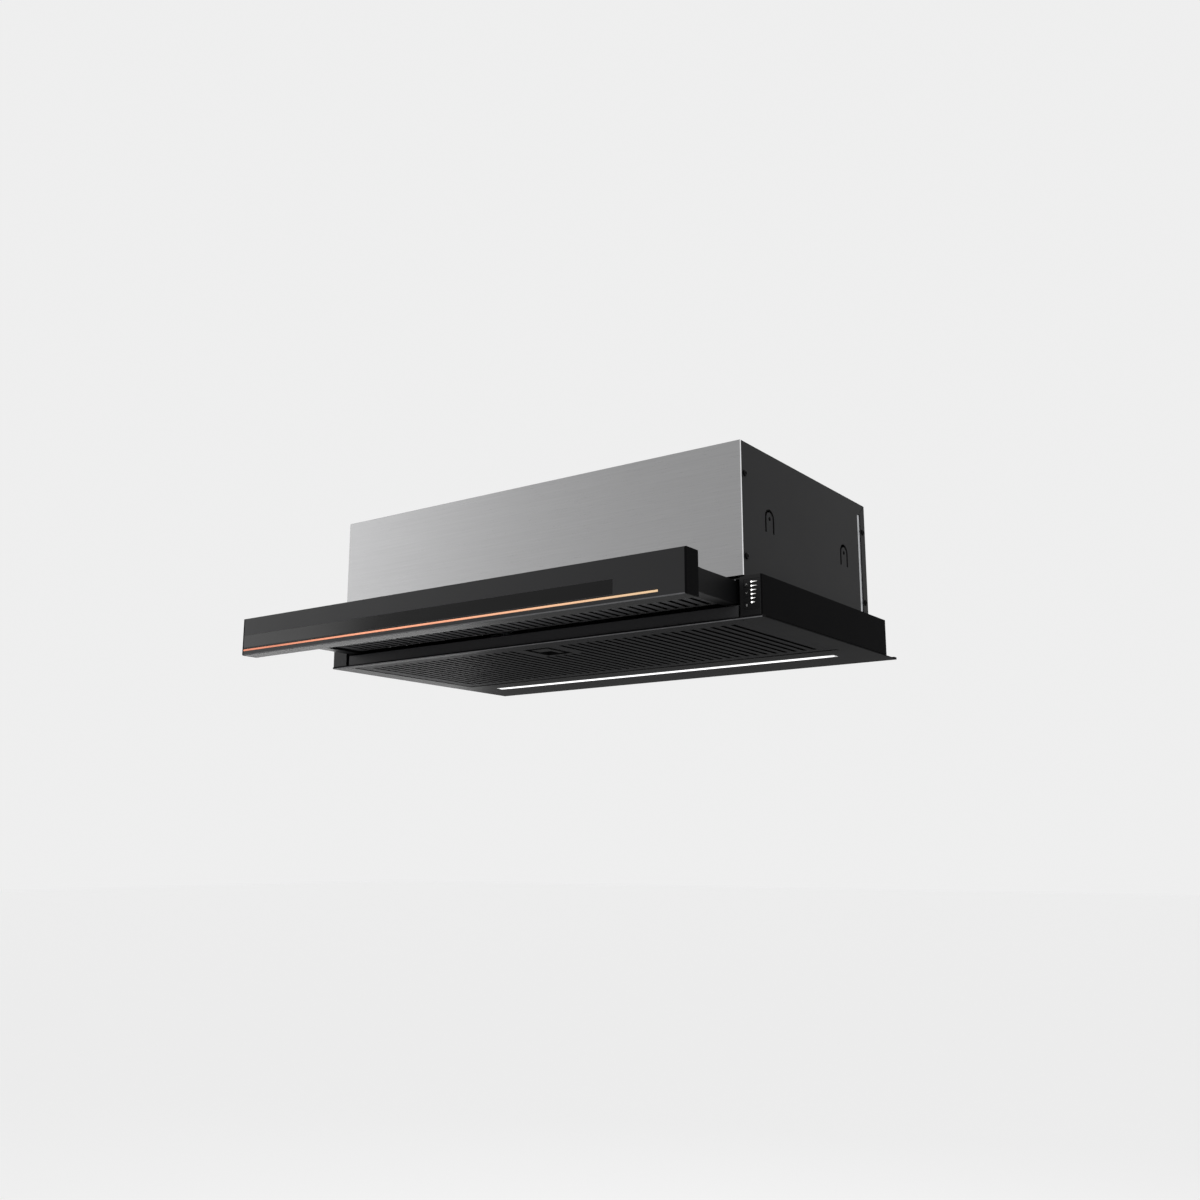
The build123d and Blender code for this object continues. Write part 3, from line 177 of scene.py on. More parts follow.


# Brushed steel: long hair lines along X over broader bands of tone, a few pale scratches, and
# bevels and sheared edges painted bright as a highlight
def brushedSteel(name, look):
    made, tree, shader = startMaterial(name)
    hair = noise(tree, stretched(tree, look["hairStretch"]), 1.0, detail=6, roughness=0.62)
    band = noise(tree, stretched(tree, look["bandStretch"]), 1.0, detail=4, roughness=0.55)
    scratch = noise(tree, stretched(tree, look["scratchStretch"]), 1.0, detail=2, roughness=0.4)
    tone = calculated(tree, "MULTIPLY", calculated(tree, "ADD", hair, band), 0.5)
    mask = spread(tree, tone, 0, 1, *look["toneRange"])
    brushed = blendColours(tree, mask, *eitherSide(look["colour"], look["contrast"]))
    lines = spread(tree, scratch, 0, look["scratches"], *look["scratchRange"])
    lined = blendColours(tree, lines, brushed, shaded(look["colour"], look["scratchTone"]))
    smooth, rough = look["roughness"]
    along = addNode(tree, "Tangent", {}, direction_type="UV_MAP", uv_map="grain").outputs[0]
    dress(
        tree, shader,
        # bevels and sheared sides painted bright: a painted highlight
        Base_Color=blendColours(
            tree, faceMark(tree, "wearAndHighlight"), lined, shaded(look["colour"], look["edgeHighlightTone"])
        ),
        Roughness=spread(tree, hair, smooth, rough),
        Normal=bumped(tree, hair, look["depth"], look["hairHeight"]),
        Metallic=1.0, Anisotropic=look["anisotropic"], Tangent=along,
    )
    return made


# A 0..1 ramp along X in object space
def alongX(tree, lowX, highX):
    across = addNode(tree, "SeparateXYZ", {0: stretched(tree)}).outputs[0]
    return spread(tree, across, 0, 1, lowX, highX)


# A ramp through evenly spaced colours
def rampedColours(tree, pattern, colours):
    node = addNode(tree, "ValToRGB", {"Fac": pattern})
    stops = node.color_ramp.elements
    while len(stops) < len(colours):
        stops.new(0.5)
    for step, colour in enumerate(colours):
        stops[step].position = step / (len(colours) - 1)
        stops[step].color = (*colour, 1)
    return node.outputs["Color"]


# Bare metals: zinc flakes, turned steel, satin aluminium or copper, by the look's own numbers;
# reflection colours in place of one colour paint a reflection as a tone running along X
def bareMetal(name, look):
    made, tree, shader = startMaterial(name)
    where = stretched(tree, look["stretch"])
    flakes = addNode(tree, "TexVoronoi", {"Vector": where, "Scale": look["flakeScale"]})
    tone = addNode(tree, "SeparateColor", {0: flakes.outputs["Color"]}).outputs[0]
    fine = noise(tree, where, look["flakeScale"] * look["fineness"])
    mixed = addNode(tree, "Mix", {0: look["fineShare"], 2: tone, 3: fine}).outputs[0]
    vary = look["contrast"]
    level = look["roughness"]
    smoother, rougher = look["roughDrift"]
    # copper: a painted reflection, dark orange at the left running to pale at the right
    if "paintedReflectionColours" in look:
        ramp = alongX(tree, *look["span"])
        tones = [
            rampedColours(tree, ramp, [shaded(colour, share) for colour in look["paintedReflectionColours"]])
            for share in (1 - vary, 1 + vary)
        ]
    else:
        tones = eitherSide(look["colour"], vary)
    dress(
        tree, shader,
        Base_Color=blendColours(tree, mixed, *tones),
        Roughness=spread(tree, mixed, level - smoother, level + rougher, fromLow=0.2, fromHigh=0.8),
        Normal=bumped(tree, fine, look["depth"], look["flakeHeight"]),
        Metallic=1.0,
    )
    return made


# Polished black: clear gloss with faint wipe marks that run along X
def glossBlack(name, look):
    made, tree, shader = startMaterial(name)
    wipes = noise(tree, stretched(tree, look["wipeStretch"]), 1.0, detail=5, roughness=0.6)
    drift = noise(tree, stretched(tree), look["driftScale"])
    dress(
        tree, shader,
        Base_Color=blendColours(tree, drift, *eitherSide(look["colour"], look["drift"])),
        Roughness=spread(tree, wipes, look["roughness"], look["roughness"] + look["wipeDrift"]),
        Specular_IOR_Level=look["shine"],
    )
    return made


# Opal plastic lit from behind; the light falls off from one side where the look says so
def litOpal(name, look):
    made, tree, shader = startMaterial(name)
    where = stretched(tree)
    side = alongX(tree, look["brightX"], look["dimX"])
    falling = spread(tree, side, look["glow"], look["glowFar"], 0, 1)
    beads = addNode(tree, "TexWave", {"Vector": where, "Scale": look["waves"]}, bands_direction="X")
    even = spread(tree, beads.outputs["Fac"], look["beadLeast"], 1.0, 0, 1)
    clouds = noise(tree, where, look["cloudScale"], detail=2)
    dress(
        tree, shader,
        Base_Color=blendColours(tree, clouds, look["colour"], shaded(look["colour"], look["cloudTone"])),
        Emission_Strength=calculated(tree, "MULTIPLY", falling, even),
        Emission_Color=(*look["light"], 1),
        Roughness=look["roughness"],
    )
    return made


# Circuit board: green varnish over tracks, glossier where the varnish pools
def circuitBoard(name, look):
    made, tree, shader = startMaterial(name)
    where = stretched(tree)
    tracks = addNode(tree, "TexBrick", {"Vector": where, "Scale": look["trackScale"]}).outputs["Fac"]
    dress(
        tree, shader,
        Base_Color=blendColours(tree, tracks, look["colour"], look["track"]),
        Roughness=spread(tree, noise(tree, where, look["poolScale"], detail=2), *look["roughness"]),
        Normal=bumped(tree, tracks, look["depth"], look["trackHeight"]),
    )
    return made


# Looks shared by kinds of finish: tones are shares of the finish's own colour, and scales are
# how many times a pattern repeats in a metre
paintLook = {
    "drift": 0.015, "driftScale": 6, "sheenScale": 23, "sheenDrift": 0.01, "wallShadeTone": 1,
    "skinScale": 1100, "skin": 0.08, "skinHeight": 0.0001, "speckled": False,
    "edgePatchScale": 90, "edgePatchRange": (0.42, 0.66), "wearAndHighlightMost": 0.3, "wearAndHighlightLeast": 0, "wearAndHighlightTone": 2.4,
}
mouldLook = {
    **paintLook, "drift": 0.02, "driftScale": 11, "skinScale": 1500, "skin": 0.2, "speckled": True,
    "sheenDrift": 0.02, "wearAndHighlightTone": 2.2,
}
metalLook = {
    "stretch": (1, 1, 1), "fineShare": 0.45, "fineness": 7, "depth": 0.1, "flakeHeight": 0.0001,
    "roughDrift": (0.06, 0.07),
}
glossLook = {"driftScale": 16, "drift": 0.1, "wipeStretch": (9, 9, 70), "wipeDrift": 0.06}
opalLook = {
    "light": (1, 1, 1), "roughness": 0.4, "cloudScale": 60, "cloudTone": 0.96,
    "waves": 22, "beadLeast": 0.94,
}
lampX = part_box("led_diffuser")
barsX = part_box("light_bars")
finishes = {
    "brushed_steel": brushedSteel("brushedSteel", {
        "colour": (0.292, 0.292, 0.295), "roughness": (0.26, 0.37), "anisotropic": 0.5,
        "contrast": 0.04, "toneRange": (0.36, 0.64), "bandStretch": (8, 60, 700),
        "hairStretch": (30, 260, 3200), "depth": 0.16, "hairHeight": 0.00006,
        "scratchStretch": (14, 300, 1500), "scratchRange": (0.68, 0.76), "scratches": 0.18,
        "scratchTone": 1.5, "edgeHighlightTone": 2.9,
    }),
    "dark_panel": coatedSkin("darkPanel", {
        **paintLook, "colour": (0.025, 0.025, 0.026), "roughness": 0.52, "shine": 0.085,
    }),
    "black_steel": coatedSkin("blackSteel", {
        **paintLook, "colour": (0.0085, 0.0085, 0.009), "roughness": 0.48, "shine": 0.05,
    }),
    # bottom plate, latch and cup: edges and the rolled hem many times lighter, a painted highlight
    "plate_steel": coatedSkin("plateSteel", {
        **paintLook, "colour": (0.019, 0.019, 0.0198), "roughness": 0.29, "shine": 0.0009,
        "wearAndHighlightMost": 1.0, "wearAndHighlightLeast": 0.8, "wearAndHighlightTone": 20,
    }),
    "slotted_steel": coatedSkin("slottedSteel", {
        **paintLook, "colour": (0.042, 0.042, 0.0436), "roughness": 0.36, "shine": 0.0006,
        # slot walls painted dark: painted shade
        "wearAndHighlightMost": 0, "wallShadeTone": 0.1,
    }),
    "grille_steel": coatedSkin("grilleSteel", {
        **paintLook, "colour": (0.11, 0.11, 0.114), "roughness": 0.38, "shine": 0.045,
        # slot walls painted dark: painted shade
        "wearAndHighlightMost": 0, "wallShadeTone": 0.08,
    }),
    "sill_steel": coatedSkin("sillSteel", {
        **paintLook, "colour": (0.075, 0.075, 0.078), "roughness": 0.45, "shine": 0.1,
    }),
    # drawer panel's body: edges and rolled bottom rim many times lighter, a painted highlight
    "drawer_inside": coatedSkin("drawerInside", {
        **paintLook, "colour": (0.017, 0.017, 0.0177), "roughness": 0.4, "shine": 0.008,
        "wearAndHighlightMost": 1.0, "wearAndHighlightLeast": 0.85, "wearAndHighlightTone": 18,
    }),
    "drawer_black": coatedSkin("drawerBlack", {
        **paintLook, "colour": (0.026, 0.026, 0.0272), "roughness": 0.42, "shine": 0.2,
    }),
    "black_moulding": coatedSkin("blackMoulding", {
        **mouldLook, "colour": (0.0075, 0.0075, 0.0079), "roughness": 0.6, "shine": 0.008,
    }),
    # front faces of the side mouldings: a lighter, glossier copy of the black moulding, painted light
    "front_moulding": coatedSkin("litFrontMoulding", {
        **mouldLook, "colour": (0.014, 0.014, 0.0146), "roughness": 0.45, "shine": 0.2,
    }),
    "duct_moulding": coatedSkin("ductMoulding", {
        **mouldLook, "colour": (0.016, 0.016, 0.0168), "roughness": 0.42, "shine": 0.3,
    }),
    "casing_moulding": coatedSkin("casingMoulding", {
        **mouldLook, "colour": (0.07, 0.07, 0.073), "roughness": 0.5, "shine": 0.3,
    }),
    "grey_moulding": coatedSkin("greyMoulding", {
        **mouldLook, "colour": (0.36, 0.36, 0.35), "roughness": 0.5, "shine": 0.4, "wearAndHighlightTone": 1.2,
    }),
    "gloss_black": glossBlack("glossBlack", {
        **glossLook, "colour": (0.004, 0.004, 0.0042), "roughness": 0.1, "shine": 0.19,
    }),
    "fascia_black": glossBlack("fasciaBlack", {
        **glossLook, "colour": (0.017, 0.017, 0.0178), "roughness": 0.32, "shine": 0.16,
    }),
    # copper line: tone runs from dark orange to pale along X, a painted reflection
    "copper": bareMetal("copperLine", {
        **metalLook, "roughness": 0.33, "contrast": 0.03,
        "paintedReflectionColours": ((0.45, 0.165, 0.1), (0.88, 0.385, 0.235), (0.98, 0.69, 0.42)),
        "span": (-0.24, 0.27), "flakeScale": 90, "stretch": (0.2, 4, 10), "depth": 0.08,
    }),
    "zinc": bareMetal("zincSheet", {
        **metalLook, "colour": (0.56, 0.57, 0.59), "roughness": 0.38, "contrast": 0.12, "flakeScale": 130,
    }),
    "bright_steel": bareMetal("brightSteel", {
        **metalLook, "colour": (0.66, 0.66, 0.68), "roughness": 0.2, "contrast": 0.04,
        "flakeScale": 240, "stretch": (1, 6, 6),
    }),
    "motor_steel": bareMetal("motorSteel", {
        **metalLook, "colour": (0.33, 0.34, 0.36), "roughness": 0.42, "contrast": 0.1, "flakeScale": 180,
    }),
    "filter_wire": coatedSkin("filterWire", {
        **paintLook, "colour": (0.03, 0.03, 0.0312), "drift": 0.2, "driftScale": 160,
        "roughness": 0.5, "shine": 0.004,
    }),
    "aluminium": bareMetal("satinAluminium", {
        **metalLook, "colour": (0.5, 0.5, 0.515), "roughness": 0.36, "contrast": 0.07,
        "flakeScale": 160, "stretch": (0.3, 3, 3),
    }),
    "opal": litOpal("litOpal", {
        **opalLook, "colour": (0.92, 0.92, 0.92), "glow": 1.25, "glowFar": 1.25,
        "brightX": lampX[0][0], "dimX": lampX[1][0],
    }),
    "opal_rim": litOpal("opalRim", {
        **opalLook, "colour": (0.6, 0.6, 0.6), "glow": 0.3, "glowFar": 0.3,
        "brightX": lampX[0][0], "dimX": lampX[1][0],
    }),
    "smoked": glossBlack("smokedBars", {
        **glossLook, "colour": (0.02, 0.02, 0.021), "roughness": 0.25, "shine": 0.3,
    }),
    "circuit_board": circuitBoard("circuitBoard", {
        "colour": (0.02, 0.11, 0.045), "track": (0.05, 0.2, 0.08), "trackScale": 90, "depth": 0.3,
        "trackHeight": 0.00005, "poolScale": 300, "roughness": (0.25, 0.4),
    }),
    "black_screws": coatedSkin("blackScrews", {
        **paintLook, "colour": (0.004, 0.004, 0.0042), "drift": 0.2, "driftScale": 500,
        "roughness": 0.4, "shine": 0.06,
    }),
}
spotReach = 0.001  # the level lights' spots are evenly lit this far
litBars = litOpal("litBars", {
    **opalLook, "colour": (0.9, 0.9, 0.9), "light": (1, 1, 0.97), "glow": 1.5, "glowFar": 0.3,
    "brightX": barsX[0][0] + spotReach, "dimX": barsX[1][0],
})
print("finishes made:", len(finishes) + 1)

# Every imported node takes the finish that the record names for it, or a variant of that finish
variants = {
    "bottom_plate": "plate_steel", "filter_face": "slotted_steel", "latch_cup": "plate_steel",
    "drawer_grille": "grille_steel", "front_sill": "sill_steel", "drawer_cover": "sill_steel",
    "drawer_panel": "drawer_inside", "drawer_rear_bar": "drawer_inside", "duct_collar": "duct_moulding",
    "flap_left": "duct_moulding", "flap_right": "duct_moulding", "cable_gland": "duct_moulding",
    "blower_housing_right": "casing_moulding", "blower_housing_left": "casing_moulding",
    "filter_latch": "plate_steel", "filter_retainer": "filter_wire", "filter_mesh": "filter_wire",
    "control_fascia": "fascia_black", "button_up": "fascia_black", "button_down": "fascia_black",
    "button_lamp": "fascia_black", "light_bars": "smoked", "led_diffuser": "opal_rim",
}


def finishOf(nodeName):
    return finishes[variants.get(nodeName, slotOf[nodeName])]


for nodeName, node in frame["nodes"].items():
    node.data.materials.clear()
    node.data.materials.append(finishOf(nodeName))


mergeReach = 0.00001  # a CAD mesh's loose corners this near are one
flatTurn = math.radians(1.0)  # faces turned less than this against each other are one
# How far a face's normal points along an axis for each kind of face
facing = {"rolledUp": (-0.98, -0.15), "rolledAcross": 0.1, "sheared": 0.3, "upright": 0.5, "front": -0.9}


# Marks the faces by where they point: bevel strips, a hem's rolled underside and sheared side
# faces are marked for wear and painted highlights, upright faces for painted shade, and those
# that look straight to the front take the second finish where there is one
def markFaces(shape, look, bevelStrips):
    wearAndHighlight = shape.faces.layers.float.new("wearAndHighlight")
    cut = shape.faces.layers.float.new("cut")
    lowest, highest = facing["rolledUp"]
    for face in shape.faces:
        across, back, up = face.normal
        # rolled undersides and sheared sides are marked only for painted highlights
        rolled = look["highlightsRolled"] and lowest < up < highest and abs(across) < facing["rolledAcross"]
        sheared = look["highlightsSheared"] and abs(across) > facing["sheared"]
        face[wearAndHighlight] = 1.0 if face in bevelStrips or rolled or sheared else 0.0
        # upright faces are marked; a low wall tone paints them dark as shade
        face[cut] = 1.0 if abs(up) < facing["upright"] else 0.0
        face.material_index = 1 if look["front"] and back < facing["front"] else 0
        face.smooth = True


# Softened copies: merged, flattened, bevelled and marked, with a UV map along the brushing
def softened(nodeName, look):
    shape = bmesh.new()
    shape.from_mesh(frame["nodes"][nodeName].data)
    bmesh.ops.remove_doubles(shape, verts=shape.verts, dist=mergeReach)
    if look["slim"] < 1:
        lowest = min(vertex.co.z for vertex in shape.verts)
        for vertex in shape.verts:
            vertex.co.z = lowest + (vertex.co.z - lowest) * look["slim"]
    bmesh.ops.dissolve_limit(shape, angle_limit=flatTurn, verts=shape.verts, edges=shape.edges)
    bevelStrips = set()
    if look["width"]:
        steep = math.radians(look["angle"])
        sharp = [edge for edge in shape.edges if edge.is_manifold and edge.calc_face_angle(0) > steep]
        bevelled = bmesh.ops.bevel(
            shape, geom=sharp, offset=look["width"], segments=look["steps"], profile=0.5,
            affect="EDGES", clamp_overlap=True, material=-1,
        )
        bevelStrips = set(bevelled["faces"])
    shape.normal_update()
    markFaces(shape, look, bevelStrips)
    made = bpy.data.meshes.new(nodeName + "_soft")
    shape.to_mesh(made)
    shape.free()
    made.set_sharp_from_angle(angle=math.radians(look["sharp"]))
    corners = np.empty(len(made.loops), dtype=np.int32)
    made.loops.foreach_get("vertex_index", corners)
    points = np.empty(len(made.vertices) * 3)
    made.vertices.foreach_get("co", points)
    points = points.reshape(-1, 3)[corners]
    chart = made.uv_layers.new(name="grain")
    chart.data.foreach_set("uv", np.column_stack((points[:, 0] + points[:, 1], points[:, 2])).ravel())
    made.materials.append(finishOf(nodeName))
    if look["front"]:
        made.materials.append(finishes[look["front"]])
    piece = bpy.data.objects.new(nodeName + "_soft", made)
    bpy.context.scene.collection.objects.link(piece)
    weighted = piece.modifiers.new("evenShading", "WEIGHTED_NORMAL")
    weighted.keep_sharp = True
    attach(piece, bodyOf[nodeName])
    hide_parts(nodeName)
    return piece


# Edges steeper than angle are bevelled by width; slim is the share of its height that is kept
sheetEdge = {
    "angle": 40, "width": 0.00022, "steps": 2, "sharp": 50,
    "highlightsRolled": False, "highlightsSheared": False, "front": None, "slim": 1,
}
# the plate's rolled hem, the drawer panel's rolled rim and the steel's sheared sides get painted highlights
hemEdge = {**sheetEdge, "width": 0.0003, "highlightsRolled": True}
foldedEdge = {**sheetEdge, "width": 0.0006, "highlightsSheared": True}
thinEdge = {**sheetEdge, "width": 0.00012}
mouldedEdge = {**sheetEdge, "width": 0.0004}
# the mouldings' front faces take a lit copy of their plastic: painted light from the front
blockEdge = {**mouldedEdge, "front": "front_moulding"}
panelEdge = {**sheetEdge, "front": "drawer_black", "highlightsRolled": True}
lineEdge = {**thinEdge, "slim": 0.7}
plainEdge = {**sheetEdge, "width": 0, "sharp": 28}
softEdges = {
    "steel_front": foldedEdge, "right_side_panel": sheetEdge, "left_side_panel": sheetEdge,
    "rear_panel": sheetEdge, "top_panel": sheetEdge, "bottom_plate": hemEdge,
    "front_sill": sheetEdge, "rear_wall": sheetEdge,
    "right_corner_strip": thinEdge, "left_corner_strip": thinEdge,
    "drawer_bracket_right": thinEdge, "drawer_bracket_left": thinEdge,
    "drawer_rail_right": sheetEdge, "drawer_rail_left": sheetEdge, "drawer_grille": sheetEdge,
    "drawer_cover": sheetEdge, "drawer_rear_bar": sheetEdge,
    "filter_face": thinEdge, "filter_retainer": thinEdge,
    "slide_outer_right": thinEdge, "slide_outer_left": thinEdge,
    "slide_inner_right": thinEdge, "slide_inner_left": thinEdge,
    "ball_cage_right": plainEdge, "ball_cage_left": plainEdge,
    "right_side_moulding": blockEdge, "left_side_moulding": blockEdge,
    "drawer_panel": panelEdge, "end_cap_right": mouldedEdge, "end_cap_left": mouldedEdge,
    "control_fascia": thinEdge, "gloss_band": thinEdge, "copper_strip": lineEdge,
    "button_up": thinEdge, "button_down": thinEdge, "button_lamp": thinEdge,
    "filter_latch": mouldedEdge, "latch_cup": sheetEdge,
    "duct_collar": mouldedEdge, "flap_left": thinEdge, "flap_right": thinEdge, "flap_pin": thinEdge,
    "blower_housing_right": mouldedEdge, "blower_housing_left": mouldedEdge,
    "motor": sheetEdge, "motor_bracket": sheetEdge, "fan_shaft": plainEdge, "impeller": plainEdge,
    "electronics_box": mouldedEdge, "electronics_lid": mouldedEdge, "drawer_switch": thinEdge,
    "led_channel": thinEdge, "led_diffuser": thinEdge, "light_bars": thinEdge,
}
softPieces = {nodeName: softened(nodeName, look) for nodeName, look in softEdges.items()}
print("edges softened:", len(softPieces))


# Surfaces worked out on grids


# Quads between neighbouring points of a grid whose points are numbered row by row
def gridFaces(rows, columns, wrapRows=False, wrapColumns=False):
    row, column = np.meshgrid(
        np.arange(rows if wrapRows else rows - 1),
        np.arange(columns if wrapColumns else columns - 1),
        indexing="ij",
    )
    nextRow = (row + 1) % rows
    nextColumn = (column + 1) % columns
    corners = (
        row * columns + column, row * columns + nextColumn,
        nextRow * columns + nextColumn, nextRow * columns + column,
    )
    return np.stack(corners, axis=-1).reshape(-1, 4)


# Points of a profile (radius, height) carried round the Z axis in equal steps
def turnedGrid(profile, steps):
    angle = np.linspace(0, 2 * np.pi, steps, endpoint=False)
    radius, height = profile[:, 0][:, None], profile[:, 1][:, None]
    return np.stack(
        (radius * np.cos(angle), radius * np.sin(angle), np.broadcast_to(height, (len(profile), steps))),
        axis=-1,
    )


poleReach = 0.000001  # a ring of points this small is closed to one point


# Makes an object of points and faces, with smooth shading up to an angle
def makePiece(name, points, faces, nodeName, finish, replaced=True, sharp=35):
    data = bpy.data.meshes.new(name)
    corners = [list(map(int, face)) for face in faces]
    data.from_pydata(np.asarray(points).reshape(-1, 3).tolist(), [], corners)
    shape = bmesh.new()
    shape.from_mesh(data)
    bmesh.ops.remove_doubles(shape, verts=shape.verts, dist=poleReach)
    bmesh.ops.recalc_face_normals(shape, faces=shape.faces)
    for face in shape.faces:
        face.smooth = True
    shape.to_mesh(data)
    shape.free()
    data.set_sharp_from_angle(angle=math.radians(sharp))
    data.materials.append(finish)
    piece = bpy.data.objects.new(name, data)
    bpy.context.scene.collection.objects.link(piece)
    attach(piece, bodyOf[nodeName])
    if replaced:
        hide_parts(nodeName)
    return piece


# Pan-head screws with a cross recess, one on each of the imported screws
screwLook = {
    "headRadius": 0.0034, "headHeight": 0.0018, "rimShare": 0.45, "domeRings": 15,
    "shankRadius": 0.0017, "shankLength": 0.006, "pointShare": 0.15, "pointRadius": 0.6, "pole": 0.00001,
    "recessReach": 0.00175, "recessHalf": 0.00042, "recessDepth": 0.001, "recessSlope": 0.00022,
    "topRings": (0.0009, 0.00045), "steps": 48, "firstTurn": 20, "turnEach": 37,
}


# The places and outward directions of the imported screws, from their loose parts' boxes
def screwSeats():
    shape = bmesh.new()
    shape.from_mesh(frame["nodes"]["case_screws"].data)
    bmesh.ops.remove_doubles(shape, verts=shape.verts, dist=mergeReach)
    seats = []
    waiting = set(shape.verts)
    while waiting:
        group, edge = set(), [waiting.pop()]
        while edge:
            vertex = edge.pop()
            group.add(vertex)
            near = {other.other_vert(vertex) for other in vertex.link_edges} & waiting
            waiting -= near
            edge.extend(near)
        points = np.array([vertex.co[:] for vertex in group])
        low, high = points.min(axis=0), points.max(axis=0)
        axis = int(np.argmax(high - low))  # a screw is longer than its head is wide
        outward = np.zeros(3)
        outward[axis] = 1.0 if axis == 2 or (low + high)[axis] > 0 else -1.0
        tip = (low + high) / 2 + outward * (high - low)[axis] / 2
        seats.append((tip - outward * screwLook["headHeight"], outward))
    shape.free()
    return sorted(seats, key=lambda seat: tuple(np.round(seat[0], 3)))  # by place, so the same in each run


# One screw: a pole, the shank, the head's underside, a dome whose height over its rim goes as
# the root of what the fourth power of the radius leaves of one, and a pole; two crossed slots
# with sloping walls are pressed into the dome
def screwShape(look):
    reach, height, length = look["headRadius"], look["headHeight"], look["shankLength"]
    across = np.sin(np.linspace(1, 0, look["domeRings"]) * np.pi / 2)
    raised = look["rimShare"] + (1 - look["rimShare"]) * (1 - across ** 4) ** 0.5
    dome = np.column_stack((reach * across, height * raised))
    shank = [
        (look["pole"], -length), (look["shankRadius"] * look["pointRadius"], -length),
        (look["shankRadius"], -length * (1 - look["pointShare"])), (look["shankRadius"], 0), (reach, 0),
    ]
    top = [(radius, height) for radius in (*look["topRings"], look["pole"])]
    points = turnedGrid(np.vstack((shank, dome[:-1], top)), look["steps"])
    x, y = np.abs(points[..., 0]), np.abs(points[..., 1])

    def slot(acrossWay, alongWay):
        side = np.clip((look["recessHalf"] + look["recessSlope"] - acrossWay) / look["recessSlope"], 0, 1)
        end = np.clip((look["recessReach"] - alongWay) / look["recessSlope"], 0, 1)
        return side * end

    pressed = np.maximum(slot(x, y), slot(y, x)) * look["recessDepth"]
    onTop = points[..., 2] > height * look["rimShare"] / 2
    points[..., 2] -= np.where(onTop, pressed, 0)
    return points


def makeScrews(look):
    one = screwShape(look)
    rows, columns = one.shape[:2]
    flat = one.reshape(-1, 3)
    faces = gridFaces(rows, columns, wrapColumns=True)
    caps = np.array([np.arange(columns), (rows - 1) * columns + np.arange(columns)])
    allPoints, allFaces = [], []
    for count, (seat, outward) in enumerate(screwSeats()):
        side = np.array((0.0, 1.0, 0.0)) if outward[2] == 0 else np.array((1.0, 0.0, 0.0))
        turn = np.radians(look["firstTurn"] + look["turnEach"] * count)  # each driven home at its own angle
        other = np.cross(outward, side)
        first = side * np.cos(turn) + other * np.sin(turn)
        second = np.cross(outward, first)
        allPoints.append(seat + flat @ np.array((first, second, outward)))
        start = count * len(flat)
        allFaces.extend((faces + start).tolist() + (caps + start).tolist())
    return makePiece(
        "case_screws_recessed", np.vstack(allPoints), allFaces, "case_screws", finishes["black_screws"]
    )


makeScrews(screwLook)
print("screws made")

# Lamp lens: a lit bar that swells gently below the diffuser, with rounded ends
lensLook = {
    "rise": 0.00045, "half": 0.0046, "endInset": 0.0034, "sunk": 0.0003, "endPower": 40,
    "stations": 81, "ring": 24,
}


# Flattened rings carried along X: a ring's width and rise are the root of what a high power
# of the distance from the middle leaves of one, so that they die away only at the ends
def makeLens(look):
    low, high = (np.array(corner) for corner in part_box("led_diffuser"))
    middle = (low[1] + high[1]) / 2
    along = np.sin(np.linspace(-np.pi / 2, np.pi / 2, look["stations"]))
    reach = (high[0] - low[0]) / 2 - look["endInset"]
    width = (1 - np.abs(along) ** look["endPower"]) ** 0.5
    angle = np.linspace(0, 2 * np.pi, look["ring"], endpoint=False)
    points = np.empty((len(along), look["ring"], 3))
    points[..., 0] = (along * reach)[:, None]
    points[..., 1] = middle + look["half"] * width[:, None] * np.cos(angle)
    drop = np.where(np.sin(angle) > 0, look["rise"], look["sunk"])
    points[..., 2] = low[2] - drop * np.sin(angle) * width[:, None]
    faces = gridFaces(look["stations"], look["ring"], wrapColumns=True)
    return makePiece("led_lens", points, faces, "led_diffuser", finishes["opal"], replaced=False)


makeLens(lensLook)

# Level lights: six glowing bars on the fascia, each a round spot with a tail
barLook = {
    "lengths": (0.0045, 0.0051, 0.0057, 0.0063, 0.0069, 0.0075), "pitch": 0.00407,
    "spot": 0.00095, "tail": 0.00042, "proud": 0.00008, "stations": 41, "ring": 16,
}


# Flattened rings carried along X: the half height is the larger of a circle and of a tail
# that narrows as the square root of what is left of the bar
def makeBarLights(look):
    low, high = (np.array(corner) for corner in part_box("light_bars"))
    angle = np.linspace(0, 2 * np.pi, look["ring"], endpoint=False)
    share = (1 - np.cos(np.linspace(0, np.pi, look["stations"]))) / 2
    lengths = np.array(look["lengths"])[:, None]
    places = np.arange(len(lengths)) - (len(lengths) - 1) / 2
    middle = (low[2] + high[2]) / 2 + places * look["pitch"]
    along = share * lengths
    spot = np.sqrt(np.clip(look["spot"] ** 2 - (along - look["spot"]) ** 2, 0, None))
    tail = look["tail"] * np.sqrt(1 - share) * (along > look["spot"])
    half = np.maximum(spot, tail)
    points = np.empty((len(lengths), look["stations"], look["ring"], 3))
    points[..., 0] = (low[0] + along)[:, :, None]
    points[..., 1] = low[1] - look["proud"] * np.sin(angle) * (half / look["spot"])[:, :, None]
    points[..., 2] = middle[:, None, None] + half[:, :, None] * np.cos(angle)
    one = gridFaces(look["stations"], look["ring"], wrapColumns=True)
    starts = np.arange(len(lengths)) * look["stations"] * look["ring"]
    faces = (one[None] + starts[:, None, None]).reshape(-1, 4)
    return makePiece("level_lights", points, faces, "light_bars", litBars, replaced=False)


makeBarLights(barLook)

# Filter pad: two layers of expanded mesh inside the filter's rim
meshLook = {
    "layers": (
        {"cell": 0.011, "pitch": 0.0048, "height": 0.0013, "half": 0.0004, "thick": 0.00016},
        {"cell": 0.009, "pitch": 0.0041, "height": 0.0029, "half": 0.00036, "thick": 0.00014},
    ),
    "ripple": 0.0004, "rippleLength": 0.019, "tilt": 0.00022, "overlap": 0.6,
    "notchHalf": 0.0215, "notchDepth": 0.0672,  # room round the latch's cup
}


